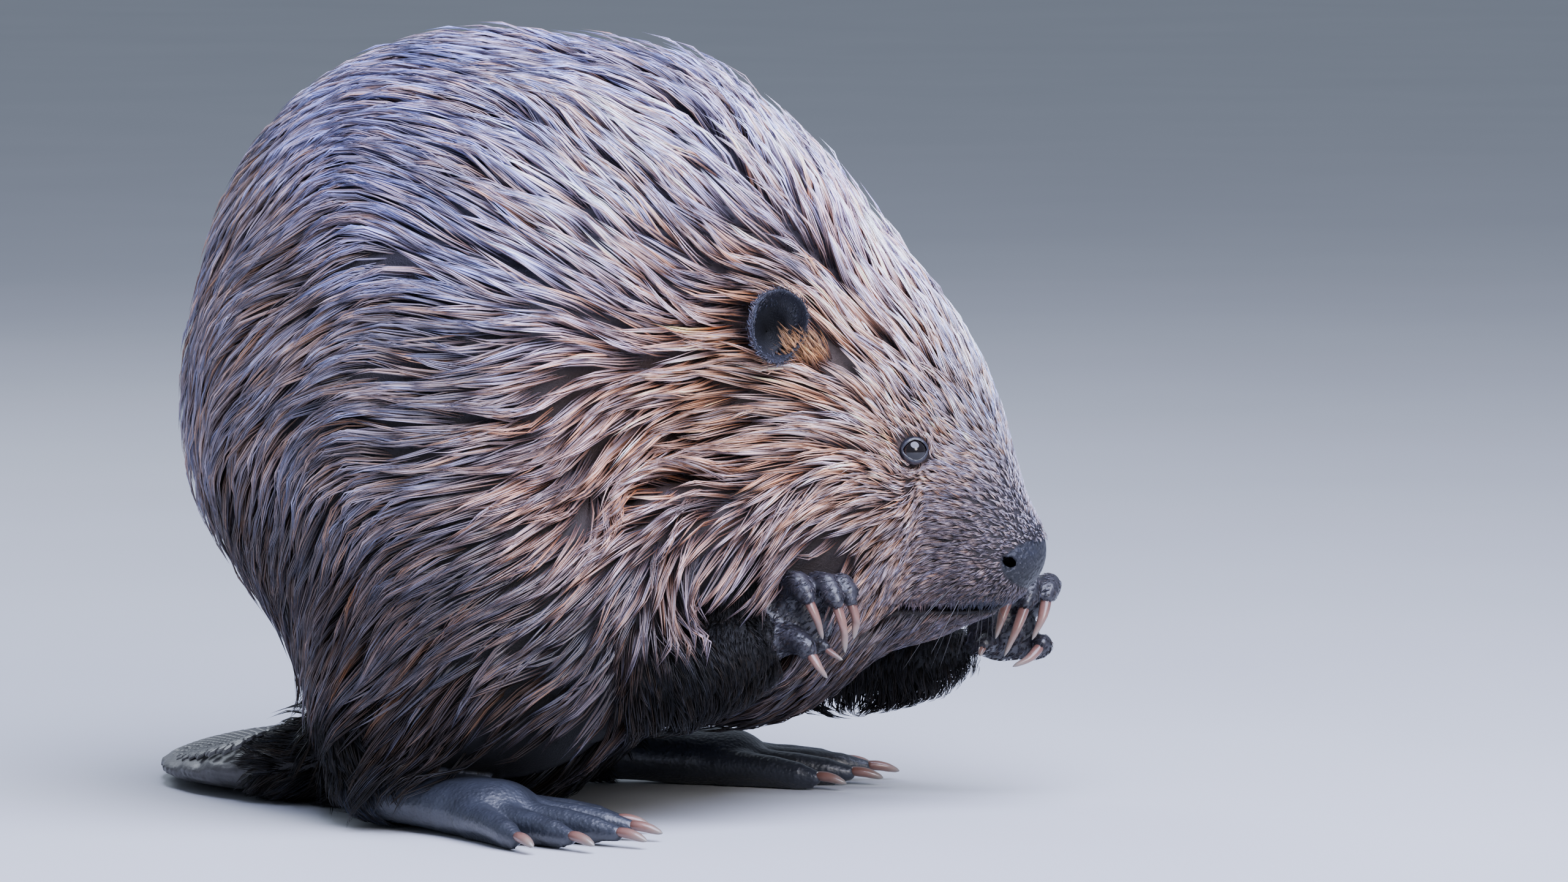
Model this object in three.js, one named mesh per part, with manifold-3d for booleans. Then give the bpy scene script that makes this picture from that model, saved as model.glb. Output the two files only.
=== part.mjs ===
// A North American beaver, life size, sitting hunched on its haunches,
// with both forepaws raised to its mouth.
// Millimetres. The beaver faces +X, its left is +Y and +Z is up,
// and the origin lies on the floor, under the seat.
// The outside of each furred solid is the outside of its coat.
import * as THREE from "three";
import { mergeVertices } from "three/addons/utils/BufferGeometryUtils.js";
import Module from "manifold-3d";

const wasm = await Module();
wasm.setup();

// ---------------------------------------------------------------- driving dimensions
const GAP = 0.35; // clear space between neighbouring pieces
const BLOCK = 1200; // side of the blocks that cut the body
const TORSO_BLEND = 12; // how softly the masses of the torso run together
const HEAD_BLEND = 6;
const NECK_BLEND = 10;

// A rounded mass: its centre, its radii along, across and up, and how far it pitches nose down.
// A mass off the middle line has a twin on the other side.
const mass = (x, y, z, along, across, up, pitch = 0) => ({
  centres: (y ? [y, -y] : [0]).map((side) => new THREE.Vector3(x, side, z)),
  radii: new THREE.Vector3(along, across, up),
  cos: Math.cos(THREE.MathUtils.degToRad(pitch)),
  sin: Math.sin(THREE.MathUtils.degToRad(pitch)),
});

const TORSO = [
  mass(-14, 0, 178, 116, 112, 112), // rump
  mass(6, 0, 236, 124, 102, 121), // back
  mass(54, 0, 234, 90, 82, 119, 34), // withers
  mass(134, 0, 262, 44, 50, 45), // crest of the neck
  mass(140, 0, 190, 66, 56, 88, 38), // nape
  mass(8, 0, 86, 86, 104, 92), // seat
  mass(124, 0, 114, 74, 68, 80), // chest
  mass(22, 84, 88, 70, 40, 72), // thighs
];
const HEAD = [
  mass(178, 0, 188, 56, 42, 53), // cranium
  mass(158, 24, 148, 47, 31, 46), // cheeks
  mass(219, 0, 171, 28, 28, 58, -20), // brow
  mass(226, 0, 124, 30, 26, 35), // muzzle
  mass(233, 12, 109, 20, 14, 18), // upper lip
  mass(252, 0, 117, 13, 15, 15), // nose
  mass(202, 0, 96, 28, 18, 20), // chin
];

const TRUNK_CENTRE = new THREE.Vector3(30, 0, 170);
const NECK_CENTRE = new THREE.Vector3(112, 0, 190);
const HEAD_CENTRE = new THREE.Vector3(196, 0, 146);

// Planes across the body: a point of each in side view, and how far its upper end leans back.
const NECK_PLANE = { x: 58, z: 215, lean: 9 };
const HEAD_PLANE = { x: 120, z: 235, lean: -12 };
const THROAT_PLANE = { x: 200, z: 74, lean: 66 };
const MOUTH_PLANE = { x: 216, z: 94, lean: 88 };
const MOUTH_CORNER_X = 184;

const EYE = { x: 204, z: 166, radius: 6.4, depth: 5.4 };
const EAR = { x: 143, z: 223, proud: 5, half: [16, 9, 17.5], wall: 2, hollow: 0.8, turn: 24, tip: 10 };
const NOSTRIL = { x: 254, y: 13.5, z: 116, half: [6, 4.5, 3.4] };
const NOSE_PAD = { x: 259, z: 117, half: [16, 21, 19] };
const THIGH = { x: 22, y: 112, z: 84, half: [74, 42, 72] };

const TAIL = {
  spine: [[-46, 0, 26], [-82, 24, 16], [-92, 72, 9], [-84, 128, 7.5], [-66, 182, 7], [-42, 234, 6]],
  halfWidth: [24, 31, 42, 53, 59, 60, 58, 52, 42],
  halfThickness: [24, 20, 13, 9.5, 8.5, 8, 7.5, 6.5, 5],
};

// Hind feet: the heel, the way the foot points, its sole and its five webbed toes.
const FOOT = {
  right: { heel: [-40, -72], heading: -34 },
  left: { heel: [50, 74], heading: 7 },
  instep: [[-6, 0, 15], [34, 0, 13], [78, 0, 11]],
  instepGirth: [17, 17, 18, 21, 22],
  toeRoot: 66,
  toeSpread: 13,
  toeLengths: [54, 66, 72, 68, 56],
  toeGirth: [7.5, 7, 6.5, 5.5],
  toeHeights: [10, 10, 5.6],
  web: { back: 60, edge: 0.86, dip: 0.68, thick: 3.2 },
  claw: { length: 13, girth: [2.6, 3, 2.6, 1.1], drop: 3.2 },
};

// Forelegs and forepaws. A finger runs from its root over its knuckle to its claw,
// and the claw on to its tip.
const ARM = {
  right: [[92, -74, 146], [74, -88, 84], [96, -86, 70], [140, -66, 84]],
  left: [[104, 70, 136], [138, 76, 78], [166, 70, 60], [232, 48, 68]],
  girth: [30, 31, 27, 22, 18, 14],
};
const PALM = {
  right: { centre: [152, -62, 92], half: [16, 9, 14] },
  left: { centre: [247, 43, 76], half: [15, 9, 14] },
};
const FINGERS = {
  right: [
    [[150, -58, 84], [158, -64, 82], [165, -70, 80], [172, -74, 75]],
    [[160, -58, 98], [171, -63, 108], [176, -71, 101], [177, -69, 84]],
    [[156, -60, 99], [163, -70, 110], [170, -82, 101], [173, -80, 79]],
    [[147, -62, 98], [151, -72, 110], [157, -82, 103], [163, -80, 85]],
    [[144, -68, 84], [152, -77, 84], [158, -82, 79], [165, -84, 68]],
  ],
  left: [
    [[243, 38, 70], [240, 32, 72], [237, 26, 70], [236, 22, 66]],
    [[242, 42, 82], [248, 38, 95], [250, 27, 93], [243, 22, 74]],
    [[251, 45, 85], [260, 39, 98], [257, 26, 89], [247, 21, 66]],
    [[258, 48, 84], [268, 43, 97], [267, 32, 92], [260, 27, 73]],
    [[254, 44, 68], [264, 38, 69], [265, 31, 71], [251, 23, 61]],
  ],
  girth: [7, 7, 6.6, 5.4],
  clawGirth: [2.4, 2.7, 2.4, 1.7, 0.9],
  clawBow: 2.2,
};

// ---------------------------------------------------------------- materials
const finish = (color, roughness) => new THREE.MeshStandardMaterial({ color, roughness, metalness: 0 });
const COAT = finish(0x4a3830, 0.55);
const FACE_COAT = finish(0x6b5040, 0.6);
const DARK_COAT = finish(0x2c2422, 0.6);
const BARE_SKIN = finish(0x24222a, 0.45);
const SCALES = finish(0x33302f, 0.5);
const EYE_GLOSS = finish(0x120d0b, 0.05);
const HORN = finish(0x9a6f60, 0.35);

// ---------------------------------------------------------------- the body as one field
// Roughly how far a point lies outside a mass, and less than nothing inside it.
function outside(m, centre, p) {
  const dx = p.x - centre.x;
  const dz = p.z - centre.z;
  const turned = new THREE.Vector3(m.cos * dx - m.sin * dz, p.y - centre.y, m.sin * dx + m.cos * dz);
  const reach = turned.divide(m.radii).length() + 1e-9;
  return (reach * (reach - 1)) / (turned.divide(m.radii).length() + 1e-9);
}

const blended = (distances, k) => {
  const least = Math.min(...distances);
  return least - k * Math.log(distances.reduce((sum, d) => sum + Math.exp((least - d) / k), 0));
};
const massField = (masses, k, p) =>
  blended(masses.map((m) => Math.min(...m.centres.map((centre) => outside(m, centre, p)))), k);
const bodyField = (p) =>
  blended([massField(TORSO, TORSO_BLEND, p), massField(HEAD, HEAD_BLEND, p)], NECK_BLEND);

// How far the skin of the coat lies from a centre, in one direction.
function reachFrom(centre, direction, swell) {
  const at = (r) => bodyField(centre.clone().addScaledVector(direction, r)) - swell;
  let inner = 1;
  let outer = inner;
  const stride = 6;
  while (at(outer) < 0) outer += stride;
  inner = Math.max(inner, outer - stride);
  for (let i = 0; i < 18; i++) {
    const middle = (inner + outer) / 2;
    if (at(middle) < 0) inner = middle;
    else outer = middle;
  }
  return (inner + outer) / 2;
}

// ---------------------------------------------------------------- geometry to solids and back
function welded(geometry) {
  geometry.deleteAttribute("normal");
  geometry.deleteAttribute("uv");
  return mergeVertices(geometry, 1e-4);
}

function solid(geometry) {
  const merged = welded(geometry);
  const mesh = new wasm.Mesh({
    numProp: 3,
    vertProperties: merged.getAttribute("position").array,
    triVerts: new Uint32Array(merged.index.array),
  });
  return new wasm.Manifold(mesh);
}

function node(name, shape, material) {
  const largest = shape.decompose().reduce((a, b) => (b.volume() > a.volume() ? b : a));
  const { vertProperties, triVerts } = largest.getMesh();
  const geometry = new THREE.BufferGeometry();
  geometry.setAttribute("position", new THREE.BufferAttribute(vertProperties, 3));
  geometry.setIndex(new THREE.BufferAttribute(triVerts, 1));
  geometry.computeVertexNormals();
  const made = new THREE.Mesh(geometry, material);
  made.name = name;
  return made;
}

const UP = new THREE.Vector3(0, 0, 1);
const union = (solids) => solids.reduce((a, b) => a.add(b));

// A ball whose vertices are moved out to the body's surface.
function wrap(centre, detail, swell = 0) {
  const ball = welded(new THREE.IcosahedronGeometry(1, detail));
  const position = ball.getAttribute("position");
  const direction = new THREE.Vector3();
  for (let i = 0; i < position.count; i++) {
    direction.fromBufferAttribute(position, i).normalize();
    const place = centre.clone().addScaledVector(direction, reachFrom(centre, direction, swell));
    position.setXYZ(i, place.x, place.y, place.z);
  }
  return solid(ball);
}

function ellipsoid([x, y, z], [a, b, c], { sides, rings, turn = 0, tip = 0 }) {
  const ball = new THREE.SphereGeometry(1, sides, rings);
  ball.scale(a, b, c);
  ball.rotateX(THREE.MathUtils.degToRad(tip));
  ball.rotateZ(THREE.MathUtils.degToRad(turn));
  return solid(ball.translate(x, y, z));
}

// Everything in front of a plane across the body, or above it where it leans right back.
function beyond({ x, z, lean }, gap) {
  const block = new THREE.BoxGeometry(BLOCK, BLOCK, BLOCK).translate(BLOCK / 2 + gap, 0, 0);
  return solid(block.rotateY(-THREE.MathUtils.degToRad(lean)).translate(x, 0, z));
}

// A value part of the way along a list of evenly spaced ones.
function along(list, t) {
  const at = Math.min(t, 0.999999) * (list.length - 1);
  const i = Math.floor(at);
  return THREE.MathUtils.lerp(list[i], list[i + 1], at - i);
}

// A closed, round-ended tube along a smooth curve. A level tube keeps its width flat to the floor.
function tube(joints, halfWidth, options) {
  const { sides, rings, halfHeight = halfWidth, level = false, swell = 0 } = options;
  const STEPS = 60;
  const ROUNDING = 1.6;
  const points = joints.map((j) => new THREE.Vector3(...j));
  const curve = new THREE.CatmullRomCurve3(points, false, "centripetal");
  const frames = curve.computeFrenetFrames(STEPS);
  const ball = welded(new THREE.SphereGeometry(1, sides, rings));
  const position = ball.getAttribute("position");
  for (let i = 0; i < position.count; i++) {
    const [x, y, z] = [position.getX(i), position.getY(i), position.getZ(i)];
    const t = THREE.MathUtils.clamp((1 - y) / 2, 0, 1);
    const ring = Math.hypot(x, z);
    const fullness = ring > 1e-6 ? Math.min(1, ROUNDING * ring) / ring : 0;
    const k = Math.round(t * STEPS);
    const ahead = frames.tangents[k];
    const side = level ? new THREE.Vector3(ahead.y, -ahead.x, 0).normalize() : frames.binormals[k];
    const up = level ? side.clone().cross(ahead) : frames.normals[k];
    const place = curve.getPointAt(t);
    place.addScaledVector(side, -x * fullness * (along(halfWidth, t) + swell));
    place.addScaledVector(up, z * fullness * (along(halfHeight, t) + swell));
    if (ring < 1e-6) place.addScaledVector(ahead, y > 0 ? -swell : swell);
    position.setXYZ(i, place.x, place.y, place.z);
  }
  return solid(ball);
}

const FLOOR = solid(new THREE.BoxGeometry(BLOCK, BLOCK, BLOCK).translate(0, 0, -BLOCK / 2));
const SIDES = { right: -1, left: 1 };

// ---------------------------------------------------------------- head, neck and trunk
const FACETS = { trunk: 7, neck: 5, head: 7 };
const aroundTrunk = wrap(TRUNK_CENTRE, FACETS.trunk);
const aroundNeck = wrap(NECK_CENTRE, FACETS.neck);
const aroundHead = wrap(HEAD_CENTRE, FACETS.head);
const coatCutter = union([
  wrap(TRUNK_CENTRE, FACETS.trunk, GAP),
  wrap(NECK_CENTRE, FACETS.neck, GAP),
  wrap(HEAD_CENTRE, FACETS.head, GAP),
]);

const aboveThroat = beyond(THROAT_PLANE, GAP / 2);
const foreQuarter = beyond(NECK_PLANE, -GAP / 2).intersect(beyond(THROAT_PLANE, -GAP / 2));
const grown = (half, swell) => half.map((r) => r + swell);
const thigh = (side, swell) =>
  ellipsoid([THIGH.x, THIGH.y * SIDES[side], THIGH.z], grown(THIGH.half, swell), { sides: 14, rings: 8 });
const hindQuarter = aroundTrunk.subtract(foreQuarter).subtract(FLOOR);
const makeTrunk = () => hindQuarter.subtract(thigh("left", GAP)).subtract(thigh("right", GAP));

const wholeHead = aroundHead.intersect(aboveThroat).intersect(beyond(HEAD_PLANE, GAP / 2));
const makeNeck = () => {
  const collar = beyond(NECK_PLANE, GAP / 2).subtract(beyond(HEAD_PLANE, -GAP / 2));
  return aroundNeck.intersect(aboveThroat).intersect(collar);
};

// How far out the coat's surface lies, level with a point of the middle plane.
const halfWidthAt = (x, z) => reachFrom(new THREE.Vector3(x, 0, z), new THREE.Vector3(0, 1, 0), 0);
const eyeball = (side, swell) => {
  const y = (halfWidthAt(EYE.x, EYE.z) - EYE.depth) * SIDES[side];
  return ellipsoid([EYE.x, y, EYE.z], Array(3).fill(EYE.radius + swell), { sides: 9, rings: 6 });
};
const nosePad = (swell) =>
  ellipsoid([NOSE_PAD.x, 0, NOSE_PAD.z], grown(NOSE_PAD.half, swell), { sides: 12, rings: 7 });

const jawBlock = (gap) =>
  beyond({ x: MOUTH_CORNER_X, z: 0, lean: 0 }, -gap).subtract(beyond(MOUTH_PLANE, gap));

const less = (shape, cutters) => cutters.reduce((a, b) => a.subtract(b), shape);
const nostril = (side) =>
  ellipsoid([NOSTRIL.x, NOSTRIL.y * SIDES[side], NOSTRIL.z], NOSTRIL.half, { sides: 7, rings: 5 });

const makeHead = () =>
  less(wholeHead, [nosePad(GAP), eyeball("left", GAP), eyeball("right", GAP), jawBlock(GAP)]);
const makeJaw = () => wholeHead.intersect(jawBlock(-GAP)).subtract(nosePad(GAP));
const makeNose = () =>
  less(wholeHead.intersect(nosePad(0)), [jawBlock(GAP), nostril("left"), nostril("right")]);

// A cupped ear that opens forwards and outwards.
function makeEar(side) {
  const s = SIDES[side];
  const turn = -EAR.turn * s;
  const pose = { sides: 12, rings: 8, turn, tip: -EAR.tip * s };
  const place = new THREE.Vector3(EAR.x, (halfWidthAt(EAR.x, EAR.z) + EAR.proud) * s, EAR.z);
  const facing = new THREE.Vector3(0, s, 0).applyAxisAngle(UP, THREE.MathUtils.degToRad(turn));
  const cup = place.clone().addScaledVector(facing, EAR.half[1] * EAR.hollow);
  const shell = ellipsoid(place.toArray(), EAR.half, pose);
  return less(shell, [ellipsoid(cup.toArray(), grown(EAR.half, -EAR.wall), pose), coatCutter]);
}

// ---------------------------------------------------------------- tail and hind feet
const makeTail = () =>
  tube(TAIL.spine, TAIL.halfWidth, { sides: 10, rings: 13, halfHeight: TAIL.halfThickness, level: true })
    .subtract(coatCutter)
    .subtract(FLOOR);

// One toe's way, in the foot's own frame: x along the foot and y to its left.
function toeWay(i) {
  const angle = THREE.MathUtils.degToRad((i - 2) * FOOT.toeSpread);
  const ahead = [Math.cos(angle), Math.sin(angle)];
  const root = [FOOT.toeRoot - Math.abs(i - 2) * 3, (i - 2) * 7];
  const at = (share, z) => [
    root[0] + ahead[0] * FOOT.toeLengths[i] * share,
    root[1] + ahead[1] * FOOT.toeLengths[i] * share,
    z,
  ];
  return { at, ahead };
}

function footWeb(swell) {
  const outline = new THREE.Shape();
  const { back, edge, dip, thick } = FOOT.web;
  outline.moveTo(back, -18);
  FOOT.toeLengths.forEach((length, i) => {
    const tip = toeWay(i).at(edge, 0);
    if (i) {
      const [a, b] = [toeWay(i - 1).at(dip, 0), toeWay(i).at(dip, 0)];
      outline.quadraticCurveTo((a[0] + b[0]) / 2, (a[1] + b[1]) / 2, tip[0], tip[1]);
    } else outline.lineTo(tip[0], tip[1]);
  });
  outline.lineTo(back, 18);
  const options = { depth: thick + swell, bevelEnabled: false, curveSegments: 2 };
  return solid(new THREE.ExtrudeGeometry(outline, options).translate(0, 0, -swell / 2));
}

const stood = (shape, side) => {
  const { heel, heading } = FOOT[side];
  return shape.rotate([0, 0, heading]).translate([heel[0], heel[1], 0]);
};

function makeFoot(side, swell) {
  const instep = tube(FOOT.instep, FOOT.instepGirth, {
    sides: 10,
    rings: 6,
    halfHeight: FOOT.instepGirth.map((g) => g * 0.68),
    level: true,
    swell,
  });
  const [root, knuckle, tip] = FOOT.toeHeights;
  const toes = FOOT.toeLengths.map((length, i) => {
    const { at } = toeWay(i);
    const joints = [at(-0.1, root), at(0.45, knuckle), at(1, tip)];
    return tube(joints, FOOT.toeGirth, { sides: 6, rings: 5, level: true, swell });
  });
  return stood(union([instep, footWeb(swell), ...toes]), side);
}

function makeToeClaw(side, i) {
  const { at, ahead } = toeWay(i);
  const root = at(0.95, FOOT.toeHeights[2] + 1.5);
  const reach = FOOT.claw.length + FOOT.toeLengths[i] * 0.05;
  const way = [0, 0.5, 1].map((t) => [
    root[0] + ahead[0] * reach * t,
    root[1] + ahead[1] * reach * t,
    root[2] - FOOT.claw.drop * t * t,
  ]);
  return stood(tube(way, FOOT.claw.girth, { sides: 5, rings: 4, level: true }), side);
}

// ---------------------------------------------------------------- forelegs, forepaws and their claws
const makeArm = (side, swell) => tube(ARM[side], ARM.girth, { sides: 10, rings: 8, swell });

function makePaw(side, swell) {
  const { centre, half } = PALM[side];
  const palm = ellipsoid(centre, half.map((r) => r + swell), { sides: 10, rings: 6 });
  const fingers = FINGERS[side].map(([root, knuckle, clawRoot], i) => {
    const girth = FINGERS.girth.map((g) => g * (i ? 1 : 0.75));
    return tube([root, knuckle, clawRoot], girth, { sides: 6, rings: 5, swell });
  });
  return union([palm, ...fingers]);
}

function makeFingerClaw(side, i) {
  const [, knuckle, clawRoot, tip] = FINGERS[side][i].map((p) => new THREE.Vector3(...p));
  const start = clawRoot.clone().lerp(knuckle, 0.25);
  const away = clawRoot.clone().sub(new THREE.Vector3(...PALM[side].centre)).normalize();
  const middle = start.clone().lerp(tip, 0.55).addScaledVector(away, FINGERS.clawBow * (i ? 1 : 0.4));
  const girth = FINGERS.clawGirth.map((g) => g * (i ? 1 : 0.7));
  return tube([start, middle, tip].map((p) => p.toArray()), girth, { sides: 5, rings: 5 });
}

// ---------------------------------------------------------------- the model
const beaver = new THREE.Group();
beaver.add(node("trunk", makeTrunk(), COAT));
beaver.add(node("neck", makeNeck(), COAT));
beaver.add(node("head", makeHead(), FACE_COAT));
beaver.add(node("lower_jaw", makeJaw(), DARK_COAT));
beaver.add(node("nose", makeNose(), BARE_SKIN));
beaver.add(node("tail", makeTail(), SCALES));
for (const side of ["right", "left"]) {
  const arm = makeArm(side, GAP);
  beaver.add(node(`eye_${side}`, eyeball(side, 0), EYE_GLOSS));
  beaver.add(node(`ear_${side}`, makeEar(side), BARE_SKIN));
  beaver.add(node(`thigh_${side}`, hindQuarter.intersect(thigh(side, 0)), COAT));
  beaver.add(node(`hind_foot_${side}`, makeFoot(side, 0).subtract(coatCutter).subtract(FLOOR), BARE_SKIN));
  beaver.add(node(`foreleg_${side}`, makeArm(side, 0).subtract(coatCutter), DARK_COAT));
  beaver.add(node(`forepaw_${side}`, makePaw(side, 0).subtract(arm).subtract(coatCutter), BARE_SKIN));
  const cutter = makePaw(side, GAP);
  const footCutter = makeFoot(side, GAP);
  for (let i = 0; i < 5; i++) {
    const claw = makeFingerClaw(side, i).subtract(cutter);
    beaver.add(node(`claw_fore_${side}_${i + 1}`, claw, HORN));
    const toeClaw = makeToeClaw(side, i).subtract(footCutter).subtract(FLOOR);
    beaver.add(node(`claw_hind_${side}_${i + 1}`, toeClaw, HORN));
  }
}

export default beaver;
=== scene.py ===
"""A North American beaver, life size, as a still model: one skin, a wet coat of locks, and a studio.

Everything here is worked out in millimetres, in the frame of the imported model, and is written in metres.
The beaver faces +X, its left is +Y, and the floor is at Z = 0.
"""

import functools
import itertools
import math

import bmesh
import bpy
import numpy as np
import openvdb as vdb
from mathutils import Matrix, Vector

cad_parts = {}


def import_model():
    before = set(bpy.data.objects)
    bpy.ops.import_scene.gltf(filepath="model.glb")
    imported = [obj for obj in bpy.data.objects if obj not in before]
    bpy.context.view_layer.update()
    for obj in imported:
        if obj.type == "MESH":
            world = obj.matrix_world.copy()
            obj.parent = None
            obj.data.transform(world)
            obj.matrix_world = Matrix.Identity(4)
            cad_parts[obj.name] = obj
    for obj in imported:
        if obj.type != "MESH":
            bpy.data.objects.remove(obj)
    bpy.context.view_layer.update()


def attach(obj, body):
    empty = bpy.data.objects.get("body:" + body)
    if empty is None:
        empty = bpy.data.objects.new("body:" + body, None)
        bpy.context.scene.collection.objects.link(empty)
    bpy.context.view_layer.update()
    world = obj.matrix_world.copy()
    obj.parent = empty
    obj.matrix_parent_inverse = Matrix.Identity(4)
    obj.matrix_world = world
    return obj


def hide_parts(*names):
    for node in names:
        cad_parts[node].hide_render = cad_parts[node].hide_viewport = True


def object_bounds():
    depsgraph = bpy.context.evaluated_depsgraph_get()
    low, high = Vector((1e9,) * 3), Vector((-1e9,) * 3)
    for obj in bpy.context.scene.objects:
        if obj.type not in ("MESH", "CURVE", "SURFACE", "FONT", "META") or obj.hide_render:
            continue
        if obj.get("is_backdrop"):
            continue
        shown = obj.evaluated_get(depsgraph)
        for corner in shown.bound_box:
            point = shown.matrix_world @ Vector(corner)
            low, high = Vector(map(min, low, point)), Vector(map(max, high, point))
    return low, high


MM = 0.001
rng = np.random.default_rng(7)

# ---------------------------------------------------------------- driving dimensions, in mm
# Rounded masses: name, centre, radii, pitch nose down in degrees. One off the middle line has a twin.
TORSO = [
    ("rump", (-14, 0, 178), (116, 112, 112), 0),
    ("back", (6, 0, 236), (124, 102, 121), 0),
    ("withers", (54, 0, 234), (90, 82, 119), 34),
    ("crest", (134, 0, 262), (44, 50, 45), 0),
    ("nape", (140, 0, 190), (66, 56, 88), 38),
    ("seat", (8, 0, 86), (86, 104, 92), 0),
    ("chest", (124, 0, 114), (74, 68, 80), 0),
    ("thighs", (22, 84, 88), (70, 40, 72), 0),
]
HEAD = [
    ("cranium", (178, 0, 188), (56, 42, 53), 0),
    ("cheeks", (158, 24, 148), (47, 31, 46), 0),
    ("brow", (219, 0, 171), (28, 28, 58), -20),
    ("muzzle", (226, 0, 124), (30, 26, 34), 0),
    ("upper lip", (233, 12, 109), (20, 14, 18), 0),
    ("nose", (252, 0, 117), (13, 15, 15), 0),
    ("chin", (202, 0, 96), (28, 18, 20), 0),
]
TORSO_BLEND, HEAD_BLEND, NECK_BLEND = 12, 6, 10

NOSE_TIP = np.array((256, 0, 118))
COAT_DEPTH = (1.2, 10.5)  # at the nose and on the body
COAT_REACH = (20, 175)  # from the nose, where it is shortest and where it is full

EYE = {"x": 204, "z": 166, "radius": 6.4, "depth": 5.4, "facing": (0.26, 0.94, 0.2), "open": (55, 45)}
# Rings of the lids: degrees past the edge of the opening, and height over the eyeball.
LID_RINGS = [(-2, 0.1), (0, 0.35), (3, 0.62), (7, 0.7), (12, 0.5), (20, 0.45), (33, 0.1), (50, -1.6)]
LID_POINTS = 56
EAR = {"x": 143, "z": 223, "proud": 2, "half": (16, 18.5), "turn": 24, "tip": 12}
# The ear's section, from its back over the rim to the canal: share of its half size, and height over its
# middle.
EAR_PROFILE = [
    (0.5, -10), (0.78, -6), (0.93, -2.2), (0.99, 1.4), (1.0, 3.4), (0.985, 4.4), (0.955, 4.7), (0.92, 4.0),
    (0.87, 1.8), (0.80, -1.0), (0.71, -3.6), (0.60, -5.8), (0.46, -7.6), (0.30, -9.6), (0.16, -11.5),
    (0.02, -13.0),
]
EAR_RIM = 6  # the place in the profile after which it turns inside
EAR_POINTS = 72
NOSTRIL = {"at": (247, 18, 114.5), "half": (5.4, 8, 3.7), "pitch": 22}
NOSTRIL_SLIT = {"at": (242.5, 20, 117.5), "half": (5.5, 6, 1.5), "pitch": -32}
NOSTRIL_RIM = {"at": (246, 12.5, 115.5), "half": (12, 8, 9)}
NOSE_GROOVE = {"at": (268, 0, 101), "half": (9, 1.0, 19)}
NOSE_PAD = {"at": (256, 0, 113), "half": (21, 31, 12.5)}
MOUTH = {"at": (220, 34, 93.5), "half": (32, 30, 2.6)}
SNOUT_BOX = ((175, -60, 70), (400, 60, 150))  # in which the details of the nose and mouth are carved

TAIL = {
    "spine": [(-46, 0, 26), (-82, 24, 16), (-92, 72, 9), (-84, 128, 7.5), (-66, 182, 7), (-42, 234, 6)],
    "half_width": (24, 31, 42, 53, 59, 60, 58, 52, 42),
    "half_height": (24, 20, 13, 9.5, 8.5, 8, 7.5, 6.5, 5),
}
ARMS = {
    "right": [(92, -74, 146), (74, -88, 84), (96, -86, 70), (140, -66, 84)],
    "left": [(104, 70, 136), (138, 76, 78), (166, 70, 60), (232, 48, 68)],
}
ARM_GIRTH = (30, 31, 27, 22, 18, 14)
SHOULDER_PADS = {"right": (112, -62, 120), "left": (126, 60, 112)}  # skin that fills the fold before the arm
SHOULDER_PAD_HALF = (21, 17, 27)
ARM_COAT_DEPTH = (26, 20, 12, 6, 4, 2)
ARM_HAIR, ARM_HAIR_DEPTH = (34, 30, 24, 17, 11, 5), (10, 10, 8, 5, 3.5, 1.5)
ARM_FRINGE = {"length": 1.5, "depth": 6}  # how much longer the hair is, and how far it hangs, under the arms
LEG_GIRTH, LEG_COAT_DEPTH = (34, 28, 22, 16), 5
TAIL_COAT_DEPTH = (9, 8, 3)
PALMS = {"right": (152, -62, 92), "left": (247, 43, 76)}
PALM_HALF = (16, 9, 14)
# Each finger: its root, knuckle, the root of its claw and the claw's tip. The thumb comes first.
FINGERS = {
    "right": [
        [(150, -58, 84), (158, -64, 82), (165, -70, 80), (172, -74, 75)],
        [(160, -58, 98), (171, -63, 108), (176, -71, 101), (177, -69, 84)],
        [(156, -60, 99), (163, -70, 110), (170, -82, 101), (173, -80, 79)],
        [(147, -62, 98), (151, -72, 110), (157, -82, 103), (163, -80, 85)],
        [(144, -68, 84), (152, -77, 84), (158, -82, 79), (165, -84, 68)],
    ],
    "left": [
        [(243, 38, 70), (240, 32, 72), (237, 26, 70), (236, 22, 66)],
        [(242, 42, 82), (248, 38, 95), (250, 27, 93), (243, 22, 74)],
        [(251, 45, 85), (260, 39, 98), (257, 26, 89), (247, 21, 66)],
        [(258, 48, 84), (268, 43, 97), (267, 32, 92), (260, 27, 73)],
        [(254, 44, 68), (264, 38, 69), (265, 31, 71), (251, 23, 61)],
    ],
}
FINGER_GIRTH = (7, 7, 6.6, 5.4)
FINGER_HAIR_DEPTH = (0.8, 0.9, 1.4, 1.2)
FINGER_CLAW = (2.4, 2.7, 2.4, 1.7, 0.9)
CLAW_BOW = 2.2
THUMB = {"girth": 0.75, "claw": 0.7, "bow": 0.4}  # as shares of a finger's
FEET = {"right": ((-40, -72), -34), "left": ((50, 74), 7)}  # the heel, and the way the foot points
INSTEP = [(-6, 0, 15), (34, 0, 13), (78, 0, 11)]
INSTEP_GIRTH = (17, 17, 18, 21, 22)
INSTEP_FLATNESS = 0.68
TOE_ROOT, TOE_SPREAD = 66, 13
TOE_LENGTHS = (54, 66, 72, 68, 56)
TOE_GIRTH = (7.5, 7, 6.5, 5.5)
TOE_HEIGHTS = (10, 10, 5.6)
TOE_CLAW = (2.6, 3, 2.6, 1.1)
TOE_CLAW_LENGTH, TOE_CLAW_DROP = 13, 3.2
WEB_THICKNESS = 3.4
WEB_DIP = 15  # how far the web's free edge is hollowed

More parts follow.
